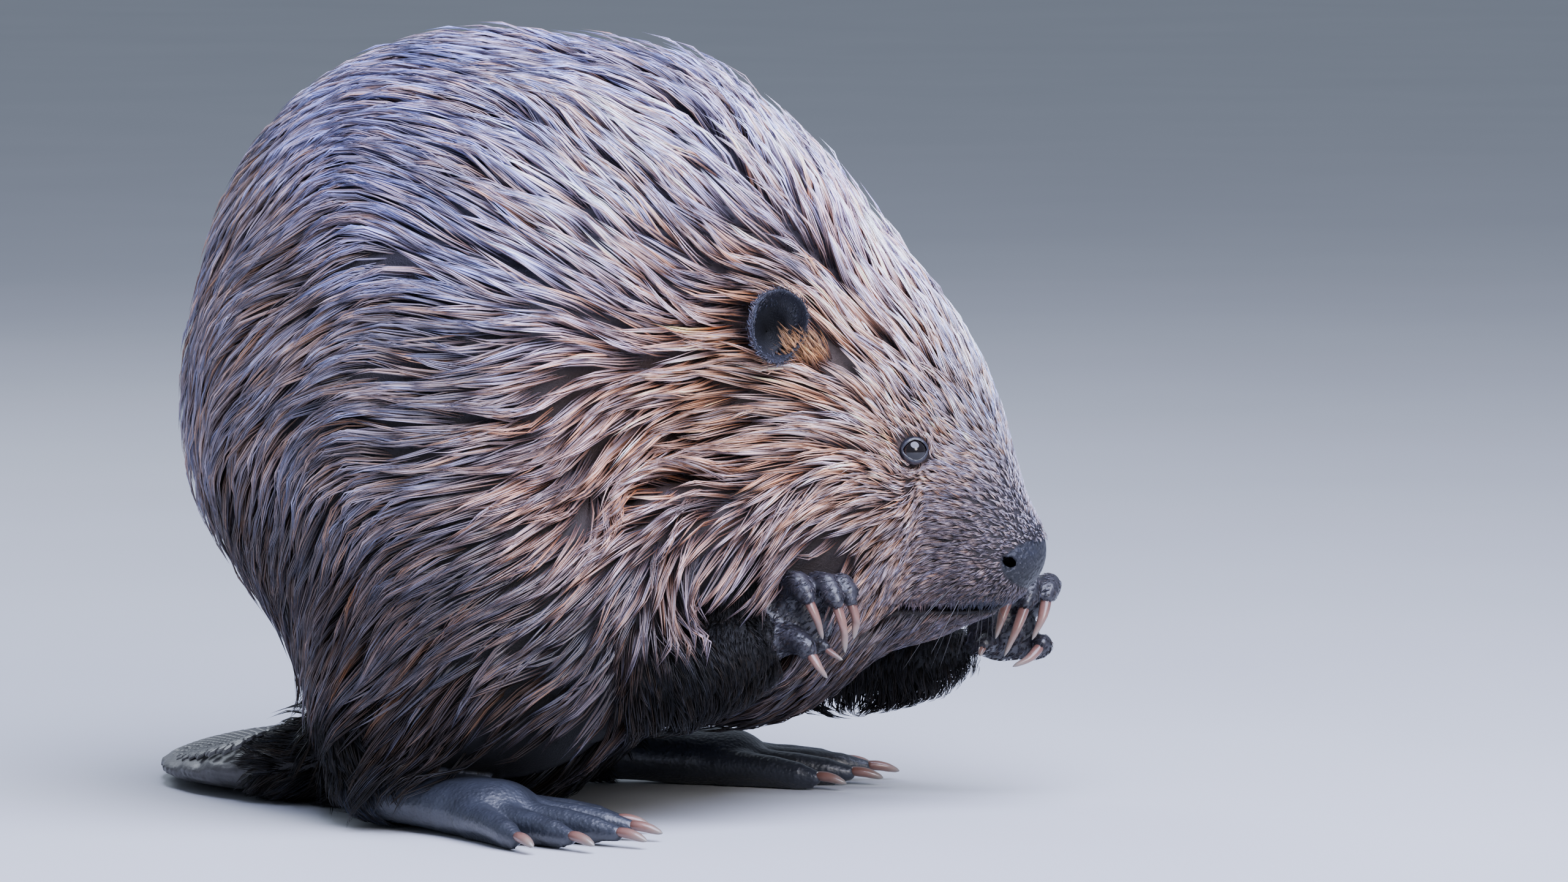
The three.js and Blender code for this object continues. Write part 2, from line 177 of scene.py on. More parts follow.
SIDES = {"right": -1, "left": 1}
END_ROUNDING = 1.6
VOXEL = 2.4
BLOCK = 4  # voxels to a side of the blocks that the skin is sought in
SHORT_HAIR_DEPTH = 0.7  # on fingers, toes and tail
FLOOR_CLEARANCE = 0.4
FURRED, FURRED_BLEND = ("body", "arm", "leg", "tail"), 11.0
SHOULDER_BLEND, BARE_BLEND, TOE_BLEND, FINGER_BLEND = 6.0, 2.0, 1.6, 0.9


# ---------------------------------------------------------------- small helpers
def unit(v):
    return v / np.maximum(np.linalg.norm(v, axis=-1, keepdims=True), 1e-9)


def smooth(x, low=0.0, high=1.0):
    t = np.clip((x - low) / (high - low), 0, 1)
    return t * t * (3 - 2 * t)


def between(low, high, t):
    return low + (high - low) * t


def soft_min(distances, k):
    stacked = np.stack(distances)
    least = stacked.min(0)
    return least - k * np.log(np.exp((least - stacked) / k).sum(0))


def soft_max(a, b, k):
    return -soft_min([-a, -b], k)


def along(values, t):
    """A value part of the way along a list of evenly spaced ones."""
    return np.interp(t, np.linspace(0, 1, len(values)), values)


def smooth_path(joints, shares):
    """Points at shares of the length of a centripetal Catmull-Rom curve through the joints."""
    p = np.array(joints, float)
    p = np.vstack([2 * p[0] - p[1], p, 2 * p[-1] - p[-2]])
    step = np.sqrt(np.linalg.norm(np.diff(p, axis=0), axis=1))
    t = np.linspace(0, 1, 40, endpoint=False)[:, None]
    pieces = []
    for i in range(1, len(p) - 2):
        a, b, c = step[i - 1 : i + 2]
        start = b * ((p[i] - p[i - 1]) / a - (p[i + 1] - p[i - 1]) / (a + b) + (p[i + 1] - p[i]) / b)
        end = b * ((p[i + 1] - p[i]) / b - (p[i + 2] - p[i]) / (b + c) + (p[i + 2] - p[i + 1]) / c)
        rise = p[i + 1] - p[i]
        curved = (3 * rise - 2 * start - end) * t**2 + (start + end - 2 * rise) * t**3
        pieces.append(p[i] + start * t + curved)
    dense = np.vstack(pieces + [p[-2:-1]])
    reach = np.append(0, np.cumsum(np.linalg.norm(np.diff(dense, axis=0), axis=1)))
    wanted = np.asarray(shares) * reach[-1]
    return np.stack([np.interp(wanted, reach, dense[:, i]) for i in range(3)], axis=1)


def tube_shares(count):
    """Shares of a tube's length, closer together at its ends, and how full its round ends make it there."""
    turn = np.linspace(0, math.pi, count)
    return (1 - np.cos(turn)) / 2, np.minimum(1, END_ROUNDING * np.sin(turn))


# ---------------------------------------------------------------- the body as one field of distance
def outside(off, radii):
    """Roughly how far offsets from an ellipsoid's middle lie outside it, and less than nothing inside."""
    turned = off / radii
    reach = np.linalg.norm(turned, axis=1) + 1e-9
    return reach * (reach - 1) / (np.linalg.norm(turned / radii, axis=1) + 1e-9)


def ball_distance(p, centre, radii, pitch=0.0):
    """Distance to a pitched ellipsoid, and to its twin if it lies off the middle line."""
    c, s = math.cos(math.radians(pitch)), math.sin(math.radians(pitch))
    x, z = p[:, 0] - centre[0], p[:, 2] - centre[2]
    y = (np.abs(p[:, 1]) if centre[1] else p[:, 1]) - abs(centre[1])
    return outside(np.stack([c * x - s * z, y, s * x + c * z], axis=1), radii)


def coat_surface(p):
    torso = soft_min([ball_distance(p, *m[1:]) for m in TORSO], TORSO_BLEND)
    head = soft_min([ball_distance(p, *m[1:]) for m in HEAD], HEAD_BLEND)
    return soft_min([torso, head], NECK_BLEND)


def coat_depth(p):
    """How thick the coat is: thin on the snout and full on the body."""
    from_nose = np.linalg.norm(p - NOSE_TIP, axis=1)
    return between(*COAT_DEPTH, smooth(from_nose, *COAT_REACH))


def path_distance(p, joints, half_width, half_height=None, count=14):
    """Distance to a tube along a smooth path. A given half height makes it flat and level."""
    shares, fullness = tube_shares(count)
    path = smooth_path(joints, shares)
    width = along(half_width, shares) * fullness + 0.05
    best = np.full(len(p), np.inf)
    pad = max(half_width) + 14
    near = np.flatnonzero(((p > path.min(0) - pad) & (p < path.max(0) + pad)).all(1))
    q = p[near]
    found = np.full(len(q), 1e3)
    height = width if half_height is None else along(half_height, shares) * fullness + 0.05
    for i in range(count - 1):
        way = path[i + 1] - path[i]
        t = np.clip(((q - path[i]) @ way) / (way @ way), 0, 1)
        off = q - path[i] - t[:, None] * way
        w = width[i] + t * (width[i + 1] - width[i])
        h = height[i] + t * (height[i + 1] - height[i])
        if half_height is None:
            found = np.minimum(found, np.linalg.norm(off, axis=1) - w)
        else:
            level = np.hypot(off[:, 0], off[:, 1])
            found = np.minimum(found, (np.hypot(level / w, off[:, 2] / h) - 1) * h)
    best[near] = found
    return np.minimum(best, 60)


def on_foot(side, points):
    """Carries points from a foot's own frame, x along it, to where it stands."""
    (x, y), heading = FEET[side]
    c, s = math.cos(math.radians(heading)), math.sin(math.radians(heading))
    p = np.array(points, float)
    return np.stack([x + c * p[:, 0] - s * p[:, 1], y + s * p[:, 0] + c * p[:, 1], p[:, 2]], axis=1)


def toe_way(i, shares, heights):
    """Points of toe i at shares of its length, in the foot's own frame."""
    angle = math.radians((i - 2) * TOE_SPREAD)
    root = np.array((TOE_ROOT - abs(i - 2) * 3, (i - 2) * 7))
    ahead = np.array((math.cos(angle), math.sin(angle)))
    return [(*(root + ahead * TOE_LENGTHS[i] * s), h) for s, h in zip(shares, heights)]


def foot_distance(p, side):
    lean = [g - SHORT_HAIR_DEPTH for g in INSTEP_GIRTH]
    instep = path_distance(p, on_foot(side, INSTEP), lean, [g * INSTEP_FLATNESS for g in lean])
    toes = [instep]
    for i in range(5):
        way = on_foot(side, toe_way(i, (-0.1, 0.45, 1), TOE_HEIGHTS))
        toes.append(path_distance(p, way, [g - SHORT_HAIR_DEPTH for g in TOE_GIRTH], count=8))
    edges = [toe_way(i, (0.1, 0.84), (WEB_THICKNESS, WEB_THICKNESS / 2)) for i in range(5)]
    for a, b in zip(edges[:-1], edges[1:]):
        toes.append(web_distance(p, on_foot(side, [a[0], a[1], b[1], b[0]])))
    return soft_min(toes, TOE_BLEND)


def web_distance(p, corners):
    """Distance to the thin skin stretched between two toes, whose free edge is hollow."""
    a0, a1, b1, b0 = corners
    q = p - a0
    ahead = unit((a1 + b1) / 2 - (a0 + b0) / 2)
    across = unit(np.cross((0, 0, 1), ahead))
    x, y = q @ ahead, (p - (a0 + b0) / 2) @ across
    length = float(((a1 + b1) / 2 - a0) @ ahead)
    root, edge = np.linalg.norm(b0 - a0), np.linalg.norm(b1 - a1)
    half = root / 2 + (edge - root) / 2 * x / length
    dip = WEB_DIP * (1 - np.clip(np.abs(y) / np.maximum(half, 1), 0, 1) ** 2)
    side = np.maximum(np.abs(y) - half, np.maximum(x - (length - dip), -x))
    return np.maximum(side, np.abs(p[:, 2] - WEB_THICKNESS / 2) - WEB_THICKNESS / 2)


def paw_distance(p, side):
    parts = [outside(p - np.array(PALMS[side]), PALM_HALF)]
    for i, (root, knuckle, claw_root, _tip) in enumerate(FINGERS[side]):
        girth = [(g - d) * (1 if i else THUMB["girth"]) for g, d in zip(FINGER_GIRTH, FINGER_HAIR_DEPTH)]
        parts.append(path_distance(p, [root, knuckle, claw_root], girth, count=8))
    return soft_min(parts, FINGER_BLEND)


def arm_distance(p, side):
    arm = path_distance(p, ARMS[side], [g - d for g, d in zip(ARM_GIRTH, ARM_COAT_DEPTH)])
    return soft_min([arm, outside(p - np.array(SHOULDER_PADS[side]), SHOULDER_PAD_HALF)], SHOULDER_BLEND)


def leg_way(side):
    """The shank: from inside the thigh down to the instep."""
    low = on_foot(side, [(2, 0, 30), (20, 0, 16)])
    thigh = (low[0] + (12, 0, 0)) * (1, 0.92, 0) + (0, 0, 74)
    return [tuple(thigh), *map(tuple, low)]


def leg_distance(p, side):
    return path_distance(p, leg_way(side), [g - LEG_COAT_DEPTH for g in LEG_GIRTH], count=10)


def tail_distance(p):
    depth = (*TAIL_COAT_DEPTH, *([SHORT_HAIR_DEPTH] * 6))
    width = [w - d for w, d in zip(TAIL["half_width"], depth)]
    height = [h - d for h, d in zip(TAIL["half_height"], depth)]
    return path_distance(p, TAIL["spine"], width, height, count=20)


def head_details(p, d):
    """The head's distance d, with the nostrils, the groove under the nose and the mouth carved in."""
    low, high = np.array(SNOUT_BOX)
    near = np.flatnonzero(((p > low) & (p < high)).all(1))
    q = p[near]
    carved = d[near]
    carved = soft_min([carved, ball_distance(q, NOSTRIL_RIM["at"], NOSTRIL_RIM["half"])], 2.0)
    for hollow in (NOSTRIL, NOSTRIL_SLIT):
        carved = soft_max(carved, -ball_distance(q, hollow["at"], hollow["half"], hollow["pitch"]), 0.5)
    carved = soft_max(carved, -ball_distance(q, NOSE_GROOVE["at"], NOSE_GROOVE["half"]), 0.8)
    carved = soft_max(carved, -ball_distance(q, MOUTH["at"], MOUTH["half"]), 0.8)
    d = d.copy()
    d[near] = carved
    return d


def part_distances(p):
    """The skin's distance from each part of the body, by name."""
    parts = {"body": head_details(p, coat_surface(p) + coat_depth(p)), "tail": tail_distance(p)}
    for side in SIDES:
        parts[f"arm_{side}"] = arm_distance(p, side)
        parts[f"leg_{side}"] = leg_distance(p, side)
        parts[f"paw_{side}"] = paw_distance(p, side)
        parts[f"foot_{side}"] = foot_distance(p, side)
    return parts


def skin_surface(p):
    """The skin's distance: furred parts run into each other softly, and bare ones more closely."""
    parts = part_distances(p)
    furred = soft_min([d for name, d in parts.items() if name.startswith(FURRED)], FURRED_BLEND)
    bare = [d for name, d in parts.items() if name.startswith(("paw", "foot"))]
    return np.maximum(soft_min([furred, *bare], BARE_BLEND), FLOOR_CLEARANCE - p[:, 2])


def gradient(field, p, step=0.25):
    g = [field(p + step * axis) - field(p - step * axis) for axis in np.eye(3)]
    return np.stack(g, axis=1) / (2 * step)


# ---------------------------------------------------------------- meshes
def mesh_object(name, points, *faces):
    """A piece from points in mm and one or more arrays of faces, each of faces with as many corners."""
    mesh = bpy.data.meshes.new(name)
    corners = np.concatenate([np.asarray(f, np.int32).ravel() for f in faces])
    counts = np.concatenate([np.full(len(f), np.shape(f)[1], np.int32) for f in faces])
    mesh.vertices.add(len(points))
    mesh.vertices.foreach_set("co", (np.asarray(points) * MM).astype(np.float32).ravel())
    mesh.loops.add(len(corners))
    mesh.loops.foreach_set("vertex_index", corners)
    mesh.polygons.add(len(counts))
    mesh.polygons.foreach_set("loop_start", np.append(0, np.cumsum(counts)[:-1]).astype(np.int32))
    mesh.polygons.foreach_set("use_smooth", np.ones(len(counts), bool))
    mesh.update(calc_edges=True)
    piece = bpy.data.objects.new(name, mesh)
    bpy.context.collection.objects.link(piece)
    return piece


def points_of(mesh):
    found = np.empty(len(mesh.vertices) * 3, np.float32)
    mesh.vertices.foreach_get("co", found)
    return found.reshape(-1, 3).astype(float) / MM


def paint(mesh, colours):
    """Stores a colour for each vertex."""
    layer = mesh.color_attributes.new("tint", "FLOAT_COLOR", "POINT")
    opaque = np.column_stack([colours, np.ones(len(colours))])
    layer.data.foreach_set("color", opaque.astype(np.float32).ravel())


def carry(piece, slot, *nodes):
    """Sets a piece on the model's one body, and hides the nodes that it stands for. The slot is not used."""
    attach(piece, "root")
    if nodes:
        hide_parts(*nodes)


def loft(centres, side, up, half_width, half_height, sides):
    """Points and faces of a closed tube with a pole at each end."""
    turn = np.linspace(0, 2 * math.pi, sides, endpoint=False)
    ring = (
        centres[1:-1, None]
        + side[1:-1, None] * (half_width[1:-1, None] * np.cos(turn))[..., None]
        + up[1:-1, None] * (half_height[1:-1, None] * np.sin(turn))[..., None]
    )
    points = np.vstack([centres[:1], ring.reshape(-1, 3), centres[-1:]])
    rings = len(centres) - 2
    here = 1 + np.arange(rings)[:, None] * sides + np.arange(sides)
    after = np.roll(here, -1, axis=1)
    quads = np.stack([here[:-1], here[1:], after[1:], after[:-1]], axis=-1).reshape(-1, 4)
    start = np.stack([np.zeros(sides, int), here[0], after[0]], axis=-1)
    end = np.stack([np.full(sides, len(points) - 1), after[-1], here[-1]], axis=-1)
    return points, quads, np.vstack([start, end])


def tube(joints, half_width, sides=16, rings=18, flatness=1.0):
    """A smooth tube with round ends, as the solids have it."""
    shares, fullness = tube_shares(rings)
    centres = smooth_path(joints, shares)
    ahead = unit(np.gradient(centres, axis=0))
    side = unit(np.cross(ahead, (0.05, 0.02, 1)))
    up = np.cross(side, ahead)
    width = along(half_width, shares) * fullness
    return loft(centres, side, up, width, width * flatness, sides)


# ---------------------------------------------------------------- the skin
def skin_mesh_points():
    """The skin's surface as points and quads, from a grid that is filled closely only near the surface."""
    low, high = (np.array(corner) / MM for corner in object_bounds())
    low = low - 5
    size = np.ceil((high + 5 - low) / VOXEL / BLOCK).astype(int) * BLOCK
    axes = [low[i] + VOXEL * (np.arange(0, size[i], BLOCK) + (BLOCK - 1) / 2) for i in range(3)]
    middles = np.stack(np.meshgrid(*axes, indexing="ij"), axis=-1).reshape(-1, 3)
    coarse = skin_surface(middles).reshape(size // BLOCK)
    near = np.argwhere(np.abs(coarse) < 1.1 * BLOCK * VOXEL)
    inside = np.stack(np.meshgrid(*[np.arange(BLOCK)] * 3, indexing="ij"), axis=-1).reshape(-1, 3)
    index = (near[:, None] * BLOCK + inside).reshape(-1, 3)
    full = coarse.repeat(BLOCK, 0).repeat(BLOCK, 1).repeat(BLOCK, 2)
    full[tuple(index.T)] = skin_surface(low + VOXEL * index)
    grid = vdb.FloatGrid()
    grid.background = BLOCK * VOXEL
    grid.copyFromArray(np.clip(full, -BLOCK * VOXEL, BLOCK * VOXEL).astype(np.float32))
    points, quads = grid.convertToQuads(0.0)
    return largest_surface(points * VOXEL + low, quads)


def largest_surface(points, quads):
    """The largest connected surface alone, without the crumbs that a grid leaves at thin edges."""
    label = np.arange(len(points))
    while True:
        least = label.copy()
        np.minimum.at(least, quads.ravel(), np.repeat(label[quads].min(1), 4))
        least = least[least]
        if (least == label).all():
            break
        label = least
    kept = label == np.bincount(label).argmax()
    return points[kept], (np.cumsum(kept) - 1)[quads[kept[quads[:, 0]]]]


def refine(piece, places_and_reaches):
    """Halves the edges of the faces near some places and moves the points on to the skin's surface."""
    places = points_of(piece.data)
    chosen = np.zeros(len(places), bool)
    for centre, reach in places_and_reaches:
        chosen |= np.linalg.norm(places - centre, axis=1) < reach
    bm = bmesh.new()
    bm.from_mesh(piece.data)
    edges = [e for e in bm.edges if chosen[e.verts[0].index]]
    bmesh.ops.subdivide_edges(bm, edges=edges, cuts=1, use_grid_fill=True)
    bm.to_mesh(piece.data)
    bm.free()
    places = points_of(piece.data)
    near = np.zeros(len(places), bool)
    for centre, reach in places_and_reaches:
        near |= np.linalg.norm(places - centre, axis=1) < reach + 3
    for _ in range(2):
        slope = gradient(skin_surface, places[near])
        off = skin_surface(places[near])[:, None]
        places[near] -= np.clip(off * slope / np.maximum((slope**2).sum(1, keepdims=True), 0.2), -1, 1)
    piece.data.vertices.foreach_set("co", (places * MM).astype(np.float32).ravel())
    piece.data.update()


def coat_width_at(x, z):
    """How far out the coat's surface lies to the side, level with a point of the middle plane."""
    y = np.arange(0, 160, 0.05)
    beyond = coat_surface(np.stack([np.full_like(y, x), y, np.full_like(y, z)], axis=1)) > 0
    return y[np.argmax(beyond)]


def eye_centre(side):
    return np.array((EYE["x"], (coat_width_at(EYE["x"], EYE["z"]) - EYE["depth"]) * SIDES[side], EYE["z"]))


def eye_axes(side):
    """Outward, forward and upward directions of an eye."""
    out = unit(np.array(EYE["facing"]) * (1, SIDES[side], 1))
    ahead = unit(np.cross(out, (0, 0, 1)) * -SIDES[side])
    return out, ahead, np.cross(out, ahead) * SIDES[side]


def eyelids(side):
    """The rim of bare skin round an eye: from the eyeball out over a fold, and down under the fur."""
    out, ahead, up = eye_axes(side)
    turn = np.linspace(0, 2 * math.pi, LID_POINTS, endpoint=False)
    wide, high = EYE["open"]
    opening = (np.abs(np.cos(turn) / wide) ** 1.7 + np.abs(np.sin(turn) / high) ** 1.7) ** (-1 / 1.7)
    opening += np.where(np.cos(turn) > 0, 5 * np.cos(turn) ** 12, 0)
    added, raised = np.array(LID_RINGS).T
    angle = np.radians(opening[:, None] + added)
    reach = EYE["radius"] + raised + np.where(np.sin(turn) > 0, 0.35, 0)[:, None]
    flat = ahead * np.cos(turn)[:, None] + up * np.sin(turn)[:, None]
    points = eye_centre(side) + reach[..., None] * (
        out * np.cos(angle)[..., None] + flat[:, None] * np.sin(angle)[..., None]
    )
    return grid_skin(points, SIDES[side] > 0)


def grid_skin(points, flip):
    """Points and quads of a band, whose first index goes round and whose second goes across."""
    round_, across = points.shape[:2]
    here = np.arange(round_ * across).reshape(round_, across)
    after = np.roll(here, -1, axis=0)
    quads = np.stack([here[:, :-1], after[:, :-1], after[:, 1:], here[:, 1:]], axis=-1).reshape(-1, 4)
    return points.reshape(-1, 3), quads[:, ::-1] if flip else quads


def ear_axes(side):
    """The way an ear's cup faces, and the directions across it and up it."""
    s = SIDES[side]
    turn, tip = math.radians(EAR["turn"]), math.radians(EAR["tip"])
    facing = unit(np.array((math.sin(turn), s * math.cos(turn), 0.12)))
    up = unit(np.array((-math.sin(tip), 0, math.cos(tip))))
    up = unit(up - facing * (up @ facing))
    return facing, np.cross(facing, up) * s, up


def ear_middle(side):
    out = coat_width_at(EAR["x"], EAR["z"]) + EAR["proud"]
    return np.array((EAR["x"], out * SIDES[side], EAR["z"]))


def towards(turn, heading):
    """1 at a heading in degrees round the ear, and less away from it, down to 0 at a right angle."""
    return np.clip(np.cos(turn - math.radians(heading)), 0, 1)[:, None]


def ear_skin(side):
    """A cupped ear: its back, its rounded rim and its folded inside, as one sheet with a thickness."""
    facing, ahead, up = ear_axes(side)
    turn = np.linspace(0, 2 * math.pi, EAR_POINTS, endpoint=False)
    share, height = np.array(EAR_PROFILE).T[:, None]
    front_low, rear, front_high = towards(turn, -48) ** 2, towards(turn, 160), towards(turn, 28) ** 3
    inside = np.arange(len(EAR_PROFILE))[None] > EAR_RIM
    fold = front_high * np.exp(-(((share - 0.62) / 0.13) ** 2)) * inside
    lift = height - front_low * 8.0 * (share > 0.6) + rear * 1.8 * (share > 0.7) + 4.2 * fold
    lift += 0.35 * np.sin(turn * 5)[:, None] * (share > 0.85)
    squeeze = (1 - 0.16 * front_low) * (1 - 0.14 * np.clip(-np.sin(turn), 0, 1)[:, None] ** 1.5)
    wide = EAR["half"][0] * share * squeeze
    tall = EAR["half"][1] * share * squeeze
    points = (
        ear_middle(side)
        + ahead * (wide * np.cos(turn)[:, None])[..., None]
        + up * (tall * np.sin(turn)[:, None])[..., None]
        + facing * lift[..., None]
    )
    return grid_skin(points, SIDES[side] > 0)


def ear_tints():
    """An ear is painted lightest on its rim, as sheen, and darkest deep inside its cup, as shade."""
    shades = along(EAR_LIGHT_AND_SHADE, np.linspace(0, 1, len(EAR_PROFILE)))
    return np.tile(shades, EAR_POINTS)[:, None] * EAR_SKIN


# ---------------------------------------------------------------- markings and the lie of the coat
# The pale bluish tips on the bridge of the nose, the crown, the nape and the back, and the light tips of the
# face, are partly the coat's own brown and partly a painted reflection of a cold sky on wet fur.
SNOUT, MUZZLE, BRIDGE_SHEEN = (0.045, 0.045, 0.062), (0.20, 0.19, 0.25), (0.74, 0.78, 1.0)
CROWN_SHEEN, BROW_SHEEN, RUSSET = (0.88, 0.70, 0.98), (0.74, 0.53, 0.50), (0.52, 0.315, 0.26)
TAN, MAUVE_SHEEN, UMBER = (0.50, 0.285, 0.15), (0.86, 0.77, 1.0), (0.20, 0.14, 0.145)
SLATE_SHEEN, HEATHER = (0.315, 0.290, 0.47), (0.245, 0.20, 0.23)
# The dark browns and black are partly the coat's dark wet fur and dark limbs, and partly painted shade under
# the jaw and on the chest, the belly, the low flanks and the limbs.
DUSK_SHADE, BLACK_AND_SHADE = (0.076, 0.055, 0.054), (0.011, 0.010, 0.010)
# Places on the coat, with the way that the hair lies there and the colour of its tips, which carries a
# painted sky sheen on top and painted shade underneath. Both sides are alike.
GUIDES = [
    ((252, 0, 146), (-0.35, 0, 0.94), BRIDGE_SHEEN),
    ((236, 0, 200), (-0.42, 0, 0.9), BRIDGE_SHEEN),
    ((205, 0, 250), (-0.6, 0, 0.8), CROWN_SHEEN),
    ((165, 0, 297), (-0.6, 0, 0.8), MAUVE_SHEEN),
    ((120, 0, 332), (-0.93, 0, 0.37), SLATE_SHEEN),
    ((50, 0, 358), (-1, 0, 0), SLATE_SHEEN),
    ((-30, 0, 350), (-0.97, 0, -0.2), SLATE_SHEEN),
    ((-100, 0, 295), (-0.6, 0, -0.8), HEATHER),
    ((-130, 0, 210), (-0.15, 0, -1), HEATHER),
    ((-115, 0, 120), (-0.2, 0, -1), DUSK_SHADE),
    ((-70, 0, 50), (-0.3, 0, -0.95), BLACK_AND_SHADE),
    ((0, 110, 200), (-1, 0, 0.05), HEATHER),
    ((20, 90, 280), (-0.87, 0.1, 0.45), SLATE_SHEEN),
    ((80, 80, 270), (-0.7, 0, 0.7), MAUVE_SHEEN),
    ((110, 75, 220), (-0.97, 0, 0.2), RUSSET),
    ((80, 90, 170), (-0.86, 0, -0.45), RUSSET),
    ((115, 85, 150), (-0.78, 0, -0.62), RUSSET),
    ((90, 95, 115), (-0.5, 0, -0.86), DUSK_SHADE),
    ((125, 72, 118), (-0.7, 0, -0.7), UMBER),
    ((160, 60, 140), (-0.97, 0, -0.25), RUSSET),
    ((150, 62, 195), (-0.95, 0, 0.2), TAN),
    ((185, 50, 200), (-0.78, 0, 0.62), BROW_SHEEN),
    ((205, 38, 185), (-0.7, 0, 0.7), BROW_SHEEN),
    ((205, 42, 150), (-0.97, 0, 0.1), TAN),
    ((232, 28, 140), (-0.9, 0, 0.35), BROW_SHEEN),
    ((240, 22, 103), (-0.5, 0, -0.85), SNOUT),
    ((254, 8, 104), (-0.3, 0, -0.95), SNOUT),
    ((244, 20, 122), (-0.85, 0, 0.3), SNOUT),
    ((250, 6, 131), (-0.5, 0, 0.86), MUZZLE),
    ((226, 30, 120), (-0.9, 0, -0.05), MUZZLE),
    ((228, 22, 86), (-0.6, 0, -0.7), BLACK_AND_SHADE),
    ((198, 36, 86), (-0.7, 0, -0.6), BLACK_AND_SHADE),
    ((168, 48, 82), (-0.7, 0, -0.6), BLACK_AND_SHADE),
    ((215, 32, 111), (-0.85, 0, -0.45), BROW_SHEEN),
    ((188, 42, 108), (-0.92, 0, -0.35), UMBER),
    ((200, 18, 78), (-0.7, 0, -0.7), BLACK_AND_SHADE),
    ((155, 60, 105), (-0.8, 0, -0.6), DUSK_SHADE),
    ((-80, 95, 220), (-0.75, 0, -0.6), HEATHER),
    ((-90, 80, 130), (-0.4, 0, -0.9), DUSK_SHADE),
    ((20, 125, 100), (-0.8, 0, -0.6), DUSK_SHADE),
    ((20, 110, 40), (-0.6, 0, -0.8), BLACK_AND_SHADE),
    ((130, 65, 90), (-0.5, 0, -0.85), BLACK_AND_SHADE),
    ((190, 0, 70), (-0.3, 0, -0.95), BLACK_AND_SHADE),
    ((120, 0, 40), (-0.9, 0, -0.3), BLACK_AND_SHADE),
    ((0, 0, 10), (-1, 0, 0), BLACK_AND_SHADE),
]
GUIDE_REACH = 26
LIE_WAVES, TIP_WAVES = [(0.17, 90, 5), (0.10, 34, 6)], [(0.22, 60, 11), (0.16, 17, 12)]
SKIN_WAVES = [(0.18, 22, 9)]
# Painted shade on the lower end of the nose, and painted light on its top.
NOSE_LIGHT_AND_SHADE, NOSE_HEIGHTS = (0.4, 1.4), (108, 124)  # the nose is darkest at its lower end
PARTING = 1.15  # how strongly the coat turns away from the eyes and ears
NOSE_SKIN, PAW_SKIN, FOOT_SKIN = (0.014, 0.015, 0.022), (0.018, 0.017, 0.022), (0.022, 0.025, 0.034)
EAR_SKIN, LID_SKIN, TAIL_TINT = (0.016, 0.017, 0.025), (0.016, 0.017, 0.025), (0.040, 0.037, 0.038)
# Painted sheen on the ear's rim, and painted shade deep in its cup.
EAR_LIGHT_AND_SHADE = (1.0, 1.0, 1.2, 0.7, 0.25, 0.1)  # from the back over the rim to the canal
PAW_HAIR_TINT = 2.5  # how much lighter than the skin it is
EYE_BERTH, EAR_BERTH = (6.2, 15), (15, 27)  # how near the coat comes, and how far off it begins to turn
SHOULDER = 0.3  # share of an arm's length that wears the body's coat
FOREARM = (0.3, 0.6)  # shares of an arm's length between which its coat turns from the body's to its own
# The skin under the coat is dark partly as under-fur and partly as painted shade in the gaps between the
# locks.
UNDER_COAT = 0.08  # how light the coat is at its roots, as a share of its tips
HEEL_FUR, TAIL_FUR = 12, 34  # how far the fur reaches along the feet and the tail
COATED, BARE, SCALED, LEATHER = range(4)  # kinds of skin, in the order of its materials


def waves(p, length, seed, count=7):
    """Smooth irregular values, mostly between -1 and 1, that change over about the given length."""
    draw = np.random.default_rng(seed)
    ways = unit(draw.normal(size=(count, 3))) * draw.uniform(0.7, 1.6, (count, 1)) * 2 * math.pi / length
    return np.sin(p @ ways.T + draw.uniform(0, 2 * math.pi, count)).sum(1) * math.sqrt(2 / count) / 1.6


def swaying(p, settings):
    """The sum of waves, each of a strength, a length and a seed."""
    return sum(strength * waves(p, length, seed) for strength, length, seed in settings)


def guided(p):
    """The lie of the coat and the colour of its tips, from the guides near each point."""
    place, lie, colour = (np.array(column, float) for column in zip(*GUIDES))
    side = np.where(p[:, 1] < 0, -1.0, 1.0)
    q = p.copy()
    q[:, 1] *= side
    far = ((q[:, None] - place) ** 2).sum(-1)
    weight = np.exp((far.min(1, keepdims=True) - far) / (2 * GUIDE_REACH**2))
    weight /= weight.sum(1, keepdims=True)
    way = weight @ unit(lie)
    way[:, 1] *= side
    return unit(way), weight @ colour


def tip_colours(p, part):
    """The colour of the coat's tips: the body's markings, with a painted sky sheen on top and painted shade
    underneath, and dark limbs, partly in painted shade.
    """
    _way, tips = guided(p)
    for side in SIDES:
        arm = part == f"arm_{side}"
        share, _ahead = path_share(p[arm], ARMS[side])
        fore = smooth(share, *FOREARM)[:, None]
        tips[arm] = tips[arm] * (1 - fore) + np.array(BLACK_AND_SHADE) * fore
        tips[part == f"leg_{side}"] = BLACK_AND_SHADE
        tips[part == f"foot_{side}"] = FOOT_SKIN
        tips[part == f"paw_{side}"] = np.array(PAW_SKIN) * PAW_HAIR_TINT
    return tips


def across_surface(way, normal):
    return unit(way - (way * normal).sum(1, keepdims=True) * normal)


def path_share(p, joints):
    """How far along a smooth path each point lies, from 0 to 1, and which way the path goes there."""
    path = smooth_path(joints, np.linspace(0, 1, 40))
    nearest = np.argmin(((p[:, None] - path) ** 2).sum(-1), axis=1)
    return nearest / 39, unit(np.gradient(path, axis=0))[nearest]


@functools.cache
def obstacles():
    """What the coat parts round: the eyes and ears, each with its berth."""
    found = []
    for side in SIDES:
        found.append((eye_centre(side), *EYE_BERTH))
        found.append((ear_middle(side), *EAR_BERTH))
    return found


